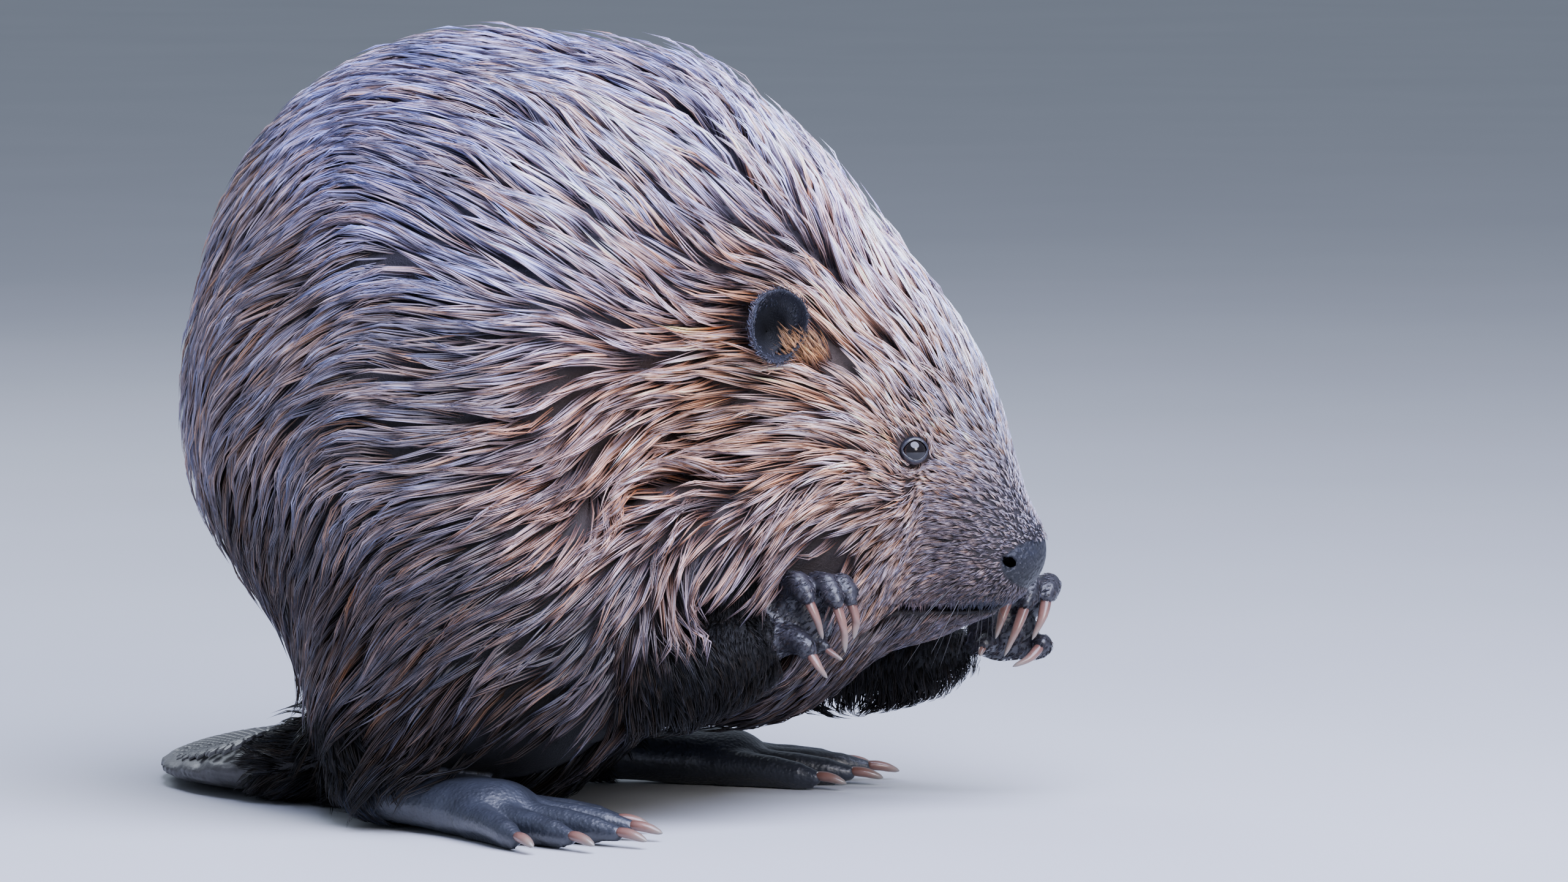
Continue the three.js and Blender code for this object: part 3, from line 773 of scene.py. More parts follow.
def lie_of_coat(p, normal, part):
    """The unit direction along the skin in which the hair at each point lies."""
    way, _colour = guided(p)
    for side in SIDES:
        arm = part == f"arm_{side}"
        if arm.any():
            share, ahead = path_share(p[arm], ARMS[side])
            hanging = unit(0.35 * ahead + np.array((-0.35, 0, -0.85)))
            fore = smooth(share, *FOREARM)[:, None]
            way[arm] = unit(way[arm] * (1 - fore) + hanging * fore)
        leg = (part == f"leg_{side}") | (part == f"foot_{side}")
        heading = math.radians(FEET[side][1])
        way[leg] = unit(np.array((0.5 * math.cos(heading), 0.5 * math.sin(heading), -0.8)))
    tail = part == "tail"
    if tail.any():
        way[tail] = path_share(p[tail], TAIL["spine"])[1]
    against = smooth(-(way * normal).sum(1), 0.55, 0.95)
    way = across_surface(way + np.array((0, 0, -1.4)) * against[:, None], normal)
    turned = np.cross(normal, way)
    way = unit(way + turned * swaying(p, LIE_WAVES)[:, None])
    for centre, _near, far in obstacles():
        off = across_surface(p - centre, normal)
        nearing = -np.minimum(0, (way * off).sum(1))
        close = 1 - smooth(np.linalg.norm(p - centre, axis=1), far * 0.45, far)
        way = unit(way + off * (PARTING * nearing * close)[:, None])
    return way


# ---------------------------------------------------------------- finishing the skin
def nearest_part(p):
    parts = part_distances(p)
    part = np.array(list(parts))[np.argmin(np.stack(list(parts.values())), axis=0)]
    for side in SIDES:
        arm = np.flatnonzero(part == f"arm_{side}")
        part[arm[path_share(p[arm], ARMS[side])[0] < SHOULDER]] = "body"
    return part


def on_nose(p):
    return ball_distance(p, NOSE_PAD["at"], NOSE_PAD["half"]) < 0


def bare_places(p, part):
    """Marks what has no coat but skin of its own: the nose, paws, feet and tail."""
    bare = on_nose(p) & (part == "body")
    for side in SIDES:
        bare |= (part == f"foot_{side}") & (heel_reach(p, side) > HEEL_FUR)
    return bare | ((part == "tail") & (tail_reach(p) > TAIL_FUR))


def heel_reach(p, side):
    """How far ahead of the heel points lie."""
    (x, y), heading = FEET[side]
    ahead = np.array((math.cos(math.radians(heading)), math.sin(math.radians(heading))))
    return (p[:, :2] - (x, y)) @ ahead


def tail_reach(p):
    """How far out from the tail's root points lie."""
    return np.linalg.norm(p[:, :2] - np.array(TAIL["spine"][0][:2]), axis=1) - 20


def skin_tints(p, part):
    """The colour of the bare skin, or of the dark under-coat, which is partly painted shade between the
    locks.
    """
    tint = tip_colours(p, part) * UNDER_COAT
    nose = (part == "body") & on_nose(p)
    # The nose's leather: painted shade at its lower end and painted light on its top.
    tint[nose] = np.array(NOSE_SKIN) * between(*NOSE_LIGHT_AND_SHADE, smooth(p[nose, 2], *NOSE_HEIGHTS))[:, None]
    for side in SIDES:
        tint[part == f"paw_{side}"] = PAW_SKIN
        tint[part == f"foot_{side}"] = FOOT_SKIN
    tint[part == "tail"] = TAIL_TINT
    return tint * (1 + swaying(p, SKIN_WAVES))[:, None]


def make_skin():
    """Makes the skin, and gives the points of it that carry the coat, with the part that each belongs to."""
    points, quads = skin_mesh_points()
    piece = mesh_object("skin", points, quads)
    feet = [(on_foot(side, [(90, 0, 10)])[0], 66) for side in SIDES]
    paws = [(np.array(PALMS[side]) + (8, 0, 2), 36) for side in SIDES]
    refine(piece, [(NOSE_TIP, 64), *feet, *paws])
    refine(piece, [(NOSE_TIP - (4, 0, 6), 28)])
    points = points_of(piece.data)
    part = nearest_part(points)
    add_bare_parts(piece, points, part)
    carry(piece, "ear_skin", *skin_nodes())
    return points, part


def skin_nodes():
    nodes = ["trunk", "neck", "head", "lower_jaw", "nose", "tail"]
    for side in SIDES:
        nodes += [f"{name}_{side}" for name in ("ear", "thigh", "hind_foot", "foreleg", "forepaw")]
    return nodes


def add_bare_parts(skin, points, part):
    """Gives the skin its materials and colours, with the ears and eyelids joined to it."""
    tints = skin_tints(points, part)
    kinds = np.where(bare_places(points, part), BARE, COATED)
    kinds[np.char.startswith(part, "paw")] = BARE
    kinds[(part == "tail") & (kinds == BARE)] = SCALED
    kinds[(part == "body") & (kinds == BARE)] = LEATHER
    extras = []
    for side in SIDES:
        for name, (places, quads), tint in (
            ("ear", ear_skin(side), ear_tints()),
            ("lids", eyelids(side), np.array([LID_SKIN])),
        ):
            extras.append(mesh_object(f"{name}_{side}", places, quads))
            tints = np.vstack([tints, np.broadcast_to(tint, (len(places), 3))])
            kinds = np.append(kinds, np.full(len(places), BARE if name == "lids" else COATED))
    with bpy.context.temp_override(active_object=skin, selected_editable_objects=[skin, *extras]):
        bpy.ops.object.join()
    paint(skin.data, np.clip(tints, 0, 1))
    for material in (under_coat(), bare_skin(), tail_skin(), nose_skin()):
        skin.data.materials.append(material)
    first = np.empty(len(skin.data.polygons), np.int32)
    skin.data.polygons.foreach_get("loop_start", first)
    corner = np.empty(len(skin.data.loops), np.int32)
    skin.data.loops.foreach_get("vertex_index", corner)
    skin.data.polygons.foreach_set("material_index", kinds[corner[first]].astype(np.int32))
    skin.data.update()


# ---------------------------------------------------------------- the coat
FACE_HAIR, BODY_HAIR, HAIR_CURVE = 3.2, 42, 1.15  # its lengths, and how its growth between them curves
HAIR_REACH = (14, 135)  # from the nose, over which the hair grows to its full length
LEG_HAIR, FOOT_HAIR, PAW_HAIR = (18, 5), (9, 2), (4.2, 0.7)  # its length, and the depth of the coat
TAIL_HAIR = (22, 10)  # its length at the tail's root, and where the fur ends
LENGTH_AT_EYE, SHORT_NEAR_EYE = 0.45, (7, 30)  # how short the hair is, as a share, and over which distance
LEAST_DEPTH, DEPTH_SHARE = 0.6, 0.2  # the coat is no deeper than these two, with the share of its length
SOLE = 2  # the height under which no hair grows
STOPS = (0.0, 0.36, 0.7, 1.0)  # shares of a lock's length where its line has points
# Strands of a lock: where each has rings of three points before its tip, how full it is there, how light
# each ring and the tip are, and how far the warmth of locks and of strands varies. The dark lower rings are
# partly the coat's own darker roots and partly painted shade deep in the coat, and a tip lighter than its
# colour is a painted highlight.
LONG = {
    "rings": (0.0, 0.36, 0.7), "fullness": (0.7, 1.0, 0.72), "shades": (0.06, 0.34, 1.0, 1.25),
    "lock_warmth": 1, "strand_warmth": 1,
}
SHORT = {
    "rings": (0.0, 0.5), "fullness": (0.8, 1.0), "shades": (0.14, 0.66, 1.25),
    "lock_warmth": 0.6, "strand_warmth": 0.4,
}
STRANDS, FULL_LOCK = (4, 6), 26  # strands to a short lock and a full one, which is longer than this
STRAND_WIDTH, WIDTH_REACH = (0.26, 0.92), (2, 36)  # and the lengths of hair over which the width grows
SPREAD_SHARE, SPREAD = 0.16, (0.8, 3.3)  # how far a lock's strands stand apart, as a share of its length
STRAND_FLATNESS = 0.75
GATHER = 0.86  # how closely the strands of a lock meet at its tip
DARKEST = 0.06  # how light the tips of the dark coat may be
SHORTEST_LONG = 9  # the least length of a lock of long strands
LEAST_TURN = 0.45  # the cosine of the sharpest turn that a lock may have
BOLD, BOLD_FROM = (0.62, 1), (10, 110)  # how strong the contrasts are behind and ahead, and where they grow
CALM, CALM_FROM = 0.65, (240, 300)  # the share of the contrasts left at the top, and where they fade
LOCK_CONTRAST, STRAND_CONTRAST = 0.32, 0.26
# A painted highlight along the middle of each lock, and painted shade at its edges, where it lies against
# its neighbours.
MIDDLE_HIGHLIGHT, EDGE_SHADE = 1.25, 0.65  # how light a lock's middle is, and how much darker its edges are
WARMTH = np.array((0.13, 0.0, -0.19))  # how far locks vary between warm and cold colours
COLD_WARM = (-0.8, 2.2)  # the coldest and the warmest that a lock may be
# The painted shade low on a strand is made warmer and the painted highlight at its tip colder, as a cold
# sky's sheen lies on the tips.
SHADE_POWERS = (0.82, 1.0, 1.2)  # of red, green and blue: a strand's shaded parts are warmer than its tip
PATCH = 0.003  # of a tuft on its colour map
PIECE_STRANDS, FACE_FROM = 11500, 175  # strands to a piece, and where pieces belong to the face
LOCK_GAP, LOCK_GAP_SHARE = (1.4, 6.3), 0.15  # the distance between locks, as a share of their length
LIMB_GAP, PAW_GAP = 1.4, 2.1
GAP_STEP, CLUMP_STEP = 1.22, 1.4  # the ratios between the sizes of cell in which locks and clumps are spaced
CLUMP_GAP, CLUMP_PULL = 2.6, (0.2, 0.9)  # locks to a clump's width, and how far it draws them together
ROOT_SINK = 0.6  # how far the locks start under the skin
FILL, RISEN = (0.74, 1.14), 0.75  # how high the locks rise in the coat, and by what share of their length
MANE = {"at": (140, 0, 310), "reach": 62, "lift": 0.6}  # where the tips stand out from the coat
WET = {"roughness": 0.29, "specular": 0.6, "sheen": 0.1}
DRY = {"roughness": 0.42, "specular": 0.2, "sheen": 0.0}
EAR_CLEARANCE = 14.5  # how far from an ear's middle the coat's locks stay
EAR_DOWN = {"locks": 800, "length": (2.0, 4.5), "depth": (0.2, 0.9)}
DOWN_BUILD = {"strands": 2, "thick": 0.22, "spread": 0.5}  # of each lock
TUFT_BUILD = {"strands": 4, "thick": 0.32, "spread": 1.2}
LIP_BUILD = {"strands": 3, "thick": 0.3, "spread": 0.8}
# The tuft grows from a place ahead of the ear's middle, and above and outside it.
EAR_TUFT = {"locks": 110, "at": (15, -17, -3), "length": (12, 20), "depth": (6, 11)}
LIP = {"locks": 260, "x": (190, 250), "z": 97, "length": (5, 8), "depth": (0.8, 1.8)}


def coat_plan(p, part):
    """The length of the hair at points of the skin, which is 0 on bare places, and the coat's depth."""
    from_nose = np.linalg.norm(p - NOSE_TIP, axis=1)
    length = between(FACE_HAIR, BODY_HAIR, smooth(from_nose, *HAIR_REACH) ** HAIR_CURVE)
    depth = coat_depth(p)
    for side in SIDES:
        arm = part == f"arm_{side}"
        share, _ahead = path_share(p[arm], ARMS[side])
        length[arm], depth[arm] = along(ARM_HAIR, share), along(ARM_HAIR_DEPTH, share)
        for limb, hair in (("leg", LEG_HAIR), ("foot", FOOT_HAIR), ("paw", PAW_HAIR)):
            here = part == f"{limb}_{side}"
            length[here], depth[here] = hair
    tail = part == "tail"
    out = smooth(tail_reach(p[tail]), 0, TAIL_FUR)
    length[tail], depth[tail] = between(*TAIL_HAIR, out), along(TAIL_COAT_DEPTH, out)
    for side in SIDES:
        from_eye = np.linalg.norm(p - eye_centre(side), axis=1)
        length *= between(LENGTH_AT_EYE, 1, smooth(from_eye, *SHORT_NEAR_EYE))
    length[bare_places(p, part)] = 0
    for centre, near, _far in obstacles():
        length[np.linalg.norm(p - centre, axis=1) < near] = 0
    off_mouth = np.abs(p - MOUTH["at"])
    length[(off_mouth[:, 0] < MOUTH["half"][0]) & (off_mouth[:, 2] < MOUTH["half"][2])] = 0
    length[p[:, 2] < SOLE] = 0
    return length, np.minimum(depth, LEAST_DEPTH + DEPTH_SHARE * length)


def lock_gaps(length, part):
    """How far apart the locks grow."""
    gap = np.clip(LOCK_GAP_SHARE * length, *LOCK_GAP)
    gap[part != "body"] *= LIMB_GAP
    gap[np.char.startswith(part, "paw")] = PAW_GAP
    return gap


def choose_roots(p, length, gap):
    """Picks scattered points of the skin as roots, closer together where the hair is short."""
    order = rng.permutation(np.flatnonzero(length > 0))
    step = np.round(np.log(gap[order] / LOCK_GAP[0]) / math.log(GAP_STEP)).astype(int)
    size = LOCK_GAP[0] * GAP_STEP**step
    cells = np.column_stack([step, np.floor(p[order] / size[:, None])])
    _cells, first = np.unique(cells, axis=0, return_index=True)
    return order[np.sort(first)]


def scatter(root, gap):
    """Moves roots a little along the skin, so that they keep no trace of its mesh."""
    _off, normal = skin_normals(root)
    moved = root + across_surface(rng.normal(size=root.shape), normal) * (0.3 * gap)[:, None]
    off, normal = skin_normals(moved)
    return moved - normal * off[:, None]


def skin_normals(p):
    """Distance from the skin's surface, and its outward direction."""
    here = skin_surface(p)
    g = np.stack([skin_surface(p + 0.3 * axis) - here for axis in np.eye(3)], axis=1)
    return here, unit(g)


def clump_offsets(root, gap):
    """How far each lock stands from the middle of its clump, and how strongly the clump draws it in."""
    gap = CLUMP_GAP * gap
    step = np.round(np.log(gap) / math.log(CLUMP_STEP)).astype(int)
    cells = np.column_stack([step, np.floor(root / (CLUMP_STEP**step)[:, None])])
    _cells, first = np.unique(cells, axis=0, return_index=True)
    middles = root[first]
    nearest = np.empty(len(root), int)
    for batch in np.array_split(np.arange(len(root)), 12):
        away = (middles**2).sum(1) - 2 * root[batch] @ middles.T
        nearest[batch] = np.argmin(away, axis=1)
    pull = rng.uniform(*CLUMP_PULL, len(middles))[nearest]
    off = root - middles[nearest]
    far = np.linalg.norm(off, axis=1) > 1.6 * gap
    return off * np.where(far, 0, pull)[:, None]


def grow_locks(root, part, length, depth, gap):
    """The middle line of each lock, the outward and onward directions along it, and its length."""
    count = len(root)
    off_clump = clump_offsets(root, gap)
    mane = np.exp(-((root - MANE["at"]) ** 2).sum(1) / (2 * MANE["reach"] ** 2))
    fill = rng.uniform(*FILL, count) + mane * rng.uniform(0, 1, count) ** 3 * MANE["lift"]
    aim = rng.normal(0, 0.06, count)
    length = length * rng.uniform(0.8, 1.2, count)
    here = root.copy()
    _off, normal = skin_normals(here)
    points, normals, ways = [root - ROOT_SINK * normal], [normal], []
    for start, end in zip(STOPS[:-1], STOPS[1:]):
        way = lie_of_coat(here, normal, part)
        side = np.cross(normal, way)
        inward = (off_clump * side).sum(1) / length
        way = unit(way + side * (aim - inward * 2 * end)[:, None])
        height = (depth * fill + ROOT_SINK) * np.sin(min(1.0, end / RISEN) * math.pi / 2) - ROOT_SINK
        here = here + way * (length * (end - start))[:, None]
        off, normal = skin_normals(here)
        here = here + normal * (height - off)[:, None]
        here = here + normal * (height - skin_surface(here))[:, None] * 0.8
        here[:, 2] = np.maximum(here[:, 2], FLOOR_CLEARANCE + 0.3)
        points.append(here)
        normals.append(normal)
        ways.append(way)
    return np.stack(points, 1), np.stack(normals, 1), np.stack([*ways, ways[-1]], 1), length


def strand_shape(rings):
    """Faces of one strand, and where each corner lies on its strip of the colour map."""
    quads, tris, quad_map, tri_map = [], [], [], []
    rows = (*rings, 1.0)
    last = len(rings) - 1
    for ring in range(last):
        for i in range(3):
            j = (i + 1) % 3
            quads.append((3 * ring + i, 3 * ring + j, 3 * ring + 3 + j, 3 * ring + 3 + i))
            low, high = rows[ring], rows[ring + 1]
            quad_map.append(((i, low), (i + 1, low), (i + 1, high), (i, high)))
    for i in range(3):
        tris.append((3 * last + i, 3 * last + (i + 1) % 3, 3 * last + 3))
        tri_map.append(((i, rows[last]), (i + 1, rows[last]), (i + 0.5, 1)))
    tris.append((2, 1, 0))
    tri_map.append(((2, 0), (1, 0.02), (0, 0)))
    return np.array(quads), np.array(tris), np.array(quad_map), np.array(tri_map)


def grow_strands(points, normals, ways, strands, width, spread, form):
    """The points of each strand of each lock. The strands of a lock draw together to its tip."""
    lock = np.repeat(np.arange(len(points)), strands)
    index = np.arange(len(lock))
    turn = rng.uniform(0, 2 * math.pi, len(lock))
    inner = np.sqrt(rng.uniform(0, 1, len(lock)))
    reach = inner * spread[lock]
    share = rng.uniform(0.78, 1.0, len(lock))
    thick = width[lock] * rng.uniform(0.75, 1.2, len(lock))
    line, normals, ways = points[lock], normals[lock], ways[lock]
    rings = []
    for stop, full in zip((*form["rings"], 1.0), (*form["fullness"], 0)):
        t = stop * share
        after = np.clip(np.searchsorted(STOPS, t, side="right"), 1, len(STOPS) - 1)
        low, high = np.array(STOPS)[after - 1], np.array(STOPS)[after]
        mix = ((t - low) / (high - low))[:, None]
        out, way = normals[index, after - 1], ways[index, after - 1]
        side = unit(np.cross(out, way))
        gather = (1 - GATHER * t**1.2) * reach
        middle = line[index, after - 1] * (1 - mix) + line[index, after] * mix
        middle += side * (np.cos(turn) * gather)[:, None] + way * (np.sin(turn) * gather)[:, None]
        half = 0.5 * thick * full
        for angle in np.radians((90, 210, 330)) if full else (0,):
            aside, above = half * math.cos(angle), half * STRAND_FLATNESS * math.sin(angle)
            rings.append(middle + (side * aside[:, None] + out * above[:, None]))
    made = np.stack(rings, axis=1)
    made[..., 2] = np.maximum(made[..., 2], FLOOR_CLEARANCE)
    return made, lock, inner * np.abs(np.cos(turn))


def chance_warmth(count, share):
    """Factors of red, green and blue that make things warmer or colder by chance."""
    return np.exp(np.clip(rng.normal(0, 1, count), *COLD_WARM)[:, None] * WARMTH * share)


def strand_tints(tips, lock, edge, form, bold):
    """Colours from dark roots to lighter tips, with each lock and each strand a little different.

    A bold coat has strong contrasts within and between its locks. The roots are partly darker of their own
    and partly in painted shade deep in the coat; the tips and the middles of locks carry a painted
    highlight, and the edges of locks painted shade.
    """
    per_lock = np.exp(rng.normal(0, LOCK_CONTRAST, len(tips)) * bold)[:, None]
    warmth = chance_warmth(len(tips), form["lock_warmth"])
    per_strand = np.exp(rng.normal(0, STRAND_CONTRAST, len(lock)))[:, None]
    tone = (tips * per_lock * warmth)[lock] * per_strand * chance_warmth(len(lock), form["strand_warmth"])
    shades = np.repeat(form["shades"], (*[3] * len(form["rings"]), 1))
    shades = 1 + (shades - 1) * bold[lock][:, None]
    # Painted highlight along each lock's middle and painted shade at its edges.
    shades *= (MIDDLE_HIGHLIGHT - EDGE_SHADE * edge)[:, None]
    return np.clip(tone[:, None] * shades[..., None] ** SHADE_POWERS, 0, 1)


def map_of_skin(root, normal):
    """Each root's place on a flat map of the skin: its direction seen from inside, spread out as a disc."""
    facing = unit(normal.mean(0))
    centre = root.mean(0) - 60 * facing
    way = unit(root - centre)
    side = unit(np.cross(facing, (0.1, 0.2, 1)))
    up = np.cross(side, facing)
    turn = np.arctan2(way @ up, way @ side)
    angle = np.arccos(np.clip(way @ facing, -1, 1))
    reach = 0.49 * angle / angle.max()
    return 0.5 + np.stack([reach * np.cos(turn), reach * np.sin(turn)], 1)


def coat_piece(name, slot, material, strands, tints, lock, places, form):
    """One joined piece of coat, with its colours and its colour map."""
    quads, tris, quad_map, tri_map = strand_shape(form["rings"])
    first = np.arange(len(strands))[:, None, None] * strands.shape[1]
    faces = (first + quads).reshape(-1, 4), (first + tris).reshape(-1, 3)
    piece = mesh_object(name, strands.reshape(-1, 3), *faces)
    paint(piece.data, tints.reshape(-1, 3))
    order = np.arange(len(lock)) - np.searchsorted(lock, lock)
    most = order.max() + 1
    strip = np.array((PATCH / most / 3, PATCH))
    corner = places[lock] - PATCH / 2 + np.stack([order * PATCH / most, np.zeros(len(lock))], 1)
    flat = [(corner[:, None, None] + local * strip).reshape(-1, 2) for local in (quad_map, tri_map)]
    layer = piece.data.uv_layers.new(name="OFBake")
    layer.data.foreach_set("uv", np.concatenate(flat).astype(np.float32).ravel())
    piece.data.materials.append(material)
    carry(piece, slot)


def clear_of_ears(line):
    """Marks the locks that stay out of the ears' cups."""
    middles = (line[:, 1:] + line[:, :-1]) / 2
    along_it = np.concatenate([line, middles], axis=1)
    clear = np.ones(len(line), bool)
    for side in SIDES:
        clear &= np.linalg.norm(along_it - ear_middle(side), axis=2).min(1) > EAR_CLEARANCE
    return clear


def sharpest_turn(line, normal, way):
    """The cosine of the sharpest turn in each lock, or between the directions along it."""
    runs = unit(np.diff(line, axis=1)), normal, way
    return np.min([(run[:, 1:] * run[:, :-1]).sum(2).min(1) for run in runs], axis=0)


def lock_plan(points, part):
    """The root, part, length, depth and gap of each lock, with a fringe under the arms."""
    length, depth = coat_plan(points, part)
    gap = lock_gaps(length, part)
    chosen = choose_roots(points, length, gap)
    part, length, depth, gap = part[chosen], length[chosen], depth[chosen], gap[chosen]
    root = scatter(points[chosen], gap)
    _off, outward = skin_normals(root)
    fringe = np.char.startswith(part, "arm") * smooth(-outward[:, 2], 0.1, 0.8)
    length = length * between(1, ARM_FRINGE["length"], fringe)
    return root, part, length, depth + ARM_FRINGE["depth"] * fringe, gap


def make_coat(points, part):
    """The whole coat: locks of strands all over, with finer hair on the ears and along the lip."""
    root, part, length, depth, gap = lock_plan(points, part)
    line, normal, way, length = grow_locks(root, part, length, depth, gap)
    tips = tip_colours(root, part) * (1 + swaying(root, TIP_WAVES))[:, None]
    strands = np.where(length > FULL_LOCK, STRANDS[1], STRANDS[0])
    width = between(*STRAND_WIDTH, smooth(length, *WIDTH_REACH))
    spread = np.clip(SPREAD_SHARE * length, *SPREAD)
    material, dark = fur("wet_fur", **WET), fur("dark_fur", **DRY)
    for side in SIDES:
        make_ear_down(side, material)
        make_ear_tuft(side, material)
        make_lip_fringe(side, material)
    clear = clear_of_ears(line) & (sharpest_turn(line, normal, way) > LEAST_TURN)
    bold = between(*BOLD, smooth(root[:, 0], *BOLD_FROM)) * between(1, CALM, smooth(root[:, 2], *CALM_FROM))
    for name, slot, form, members in coat_zones(root, strands, length, tips, clear):
        locks = (values[members] for values in (line, normal, way, strands, width, spread))
        grown, lock, edge = grow_strands(*locks, form)
        tints = strand_tints(tips[members], lock, edge, form, bold[members])
        finish = dark if slot == "dark_coat" else material
        places = map_of_skin(root[members], normal[members, 0])
        coat_piece(name, slot, finish, grown, tints, lock, places, form)


def straight_locks(root, normal, way, length, depth):
    """Short locks that stand out from the skin as they lie along it, in the form that grow_locks gives."""
    stops = np.array(STOPS)
    run = root[:, None] + way[:, None] * (length[:, None] * stops)[..., None]
    rise = depth[:, None] * np.sin(np.minimum(1, stops / RISEN) * math.pi / 2)
    line = run + normal[:, None] * (rise - 0.2)[..., None]
    return line, np.repeat(normal[:, None], 4, axis=1), np.repeat(way[:, None], 4, axis=1)


def short_piece(name, slot, material, locks, build, tips):
    """A piece of coat made of straight short locks, all built alike."""
    line, out, _way = locks
    sizes = [np.full(len(line), build[key]) for key in ("strands", "thick", "spread")]
    grown, lock, edge = grow_strands(*locks, *sizes, SHORT)
    tints = strand_tints(tips, lock, edge, SHORT, np.ones(len(line)))
    coat_piece(name, slot, material, grown, tints, lock, map_of_skin(line[:, 0], out[:, 0]), SHORT)


def normals_of(points, quads):
    """The outward direction at each point of a form."""
    mesh = mesh_object("form", points, quads).data
    normal = np.empty(len(points) * 3, np.float32)
    mesh.vertex_normals.foreach_get("vector", normal)
    bpy.data.meshes.remove(mesh)
    return normal.reshape(-1, 3).astype(float)


def make_ear_down(side, material):
    """Fine dark down on an ear, painted lighter towards its back as a sky sheen."""
    facing, ahead, up = ear_axes(side)
    points, quads = ear_skin(side)
    normal = normals_of(points, quads)
    middle = ear_middle(side)
    chosen = rng.permutation(np.flatnonzero((points - middle) @ facing > -6))[: EAR_DOWN["locks"]]
    root, normal = points[chosen] + rng.normal(0, 0.3, (len(chosen), 3)), normal[chosen]
    outward = unit((root - middle) - ((root - middle) @ facing)[:, None] * facing)
    way = across_surface(outward + 0.5 * up + 0.4 * facing + rng.normal(0, 0.15, root.shape), normal)
    length, depth = (rng.uniform(*EAR_DOWN[key], len(root)) for key in ("length", "depth"))
    down = straight_locks(root, normal, way, length, depth)
    # The down is painted lighter towards the back of the ear, as a sky sheen on its rim.
    behind = smooth((root - middle) @ ahead, 8, -12)[:, None]
    tips = np.array(EAR_SKIN) * between(1.5, 7.5, behind)
    short_piece(f"ear_down_{side}", "face_coat", material, down, DOWN_BUILD, tips)


def make_ear_tuft(side, material):
    """The pale tuft that grows up over the lower front of an ear."""
    facing, ahead, up = ear_axes(side)
    count = EAR_TUFT["locks"]
    forward, above, beyond = EAR_TUFT["at"]
    root = ear_middle(side) + ahead * forward + up * above + facing * beyond
    root = root + rng.normal(0, 1, (count, 3)) * (4.5, 0, 3.2)
    off, out = skin_normals(root)
    root = root - out * (off + 0.5)[:, None]
    turn = rng.normal(0, 0.22, count)[:, None]
    way = across_surface(up * 0.8 - ahead * (0.45 + turn), out)
    length, depth = (rng.uniform(*EAR_TUFT[key], count) for key in ("length", "depth"))
    tuft = straight_locks(root, out, way, length, depth)
    tips = np.tile(np.array(TAN) * (0.95, 0.85, 0.7), (count, 1))
    short_piece(f"ear_tuft_{side}", "face_coat", material, tuft, TUFT_BUILD, tips)


def make_lip_fringe(side, material):
    """Short dark hairs that hang from the upper lip over the mouth."""
    x = rng.uniform(*LIP["x"], LIP["locks"])
    places = np.linspace(*LIP["x"], 9)
    y = np.interp(x, places, [coat_width_at(place, LIP["z"]) for place in places]) * SIDES[side]
    root = np.column_stack([x, y, LIP["z"] + rng.uniform(-1.5, 4, len(x))])
    off, out = skin_normals(root)
    root = root - out * (off + 0.3)[:, None]
    lean = np.column_stack([rng.normal(-0.25, 0.2, len(x)), np.zeros(len(x)), -np.ones(len(x))])
    length, depth = (rng.uniform(*LIP[key], len(x)) for key in ("length", "depth"))
    locks = straight_locks(root, out, across_surface(lean, out), length, depth)
    ahead = smooth(x, 205, 235)[:, None]
    tips = np.array(UMBER) * (1 - ahead) + np.array(SNOUT) * ahead
    short_piece(f"lip_fringe_{side}", "face_coat", material, locks, LIP_BUILD, tips)


def coat_zones(root, strands, length, tips, clear):
    """Groups of locks of one form and finish, as many along each side as keep each piece small."""
    zones = []
    dark = tips.max(1) < DARKEST
    for side, sign in SIDES.items():
        here = clear & ((root[:, 1] * sign > 0) | ((root[:, 1] == 0) & (sign > 0)))
        for kind, form in (("short", SHORT), ("long", LONG)):
            fits = here & ((length >= SHORTEST_LONG) == (form is LONG))
            for shade, chosen in (("dark", dark), ("pale", ~dark)):
                members = np.flatnonzero(fits & chosen)
                members = members[np.argsort(root[members, 0], kind="stable")]
                total = np.cumsum(strands[members])
                count = math.ceil(total[-1] / PIECE_STRANDS)
                ends = np.searchsorted(total, total[-1] * np.arange(1, count) / count)
                for i, piece in enumerate(np.split(members, ends)):
                    place = "face_coat" if root[piece, 0].mean() > FACE_FROM else "body_coat"
                    slot = "dark_coat" if shade == "dark" else place
                    zones.append((f"coat_{shade}_{kind}_{side}_{i + 1}", slot, form, piece))
    return zones


# ---------------------------------------------------------------- eyes, claws, whiskers and scales
EYE_RINGS, EYE_SIDES = 40, 64
CLAW_START, CLAW_MIDDLE = 0.25, 0.55  # how far it reaches into its finger, and where it bows most
CLAW_SIDES, CLAW_RINGS, CLAW_FLATNESS = 14, 20, 0.8
CLAW_COLOURS = [
    (0.06, 0.03, 0.025), (0.15, 0.07, 0.055), (0.21, 0.11, 0.085), (0.22, 0.16, 0.13), (0.20, 0.19, 0.165),
]
WHISKER_ROWS, WHISKERS_IN_ROW = 3, 5
WHISKER_LENGTH, WHISKER_DROOP = (14, 30), np.array((-0.12, 0, -0.2))
WHISKER_GIRTH = (0.22, 0.19, 0.12, 0.04)
SCALE_LENGTH, SCALE_WIDTH = 5.0, 5.6
SCALES_BEGIN = 0.17  # share of the tail's length where its fur ends
SCALE_CORNERS = 6
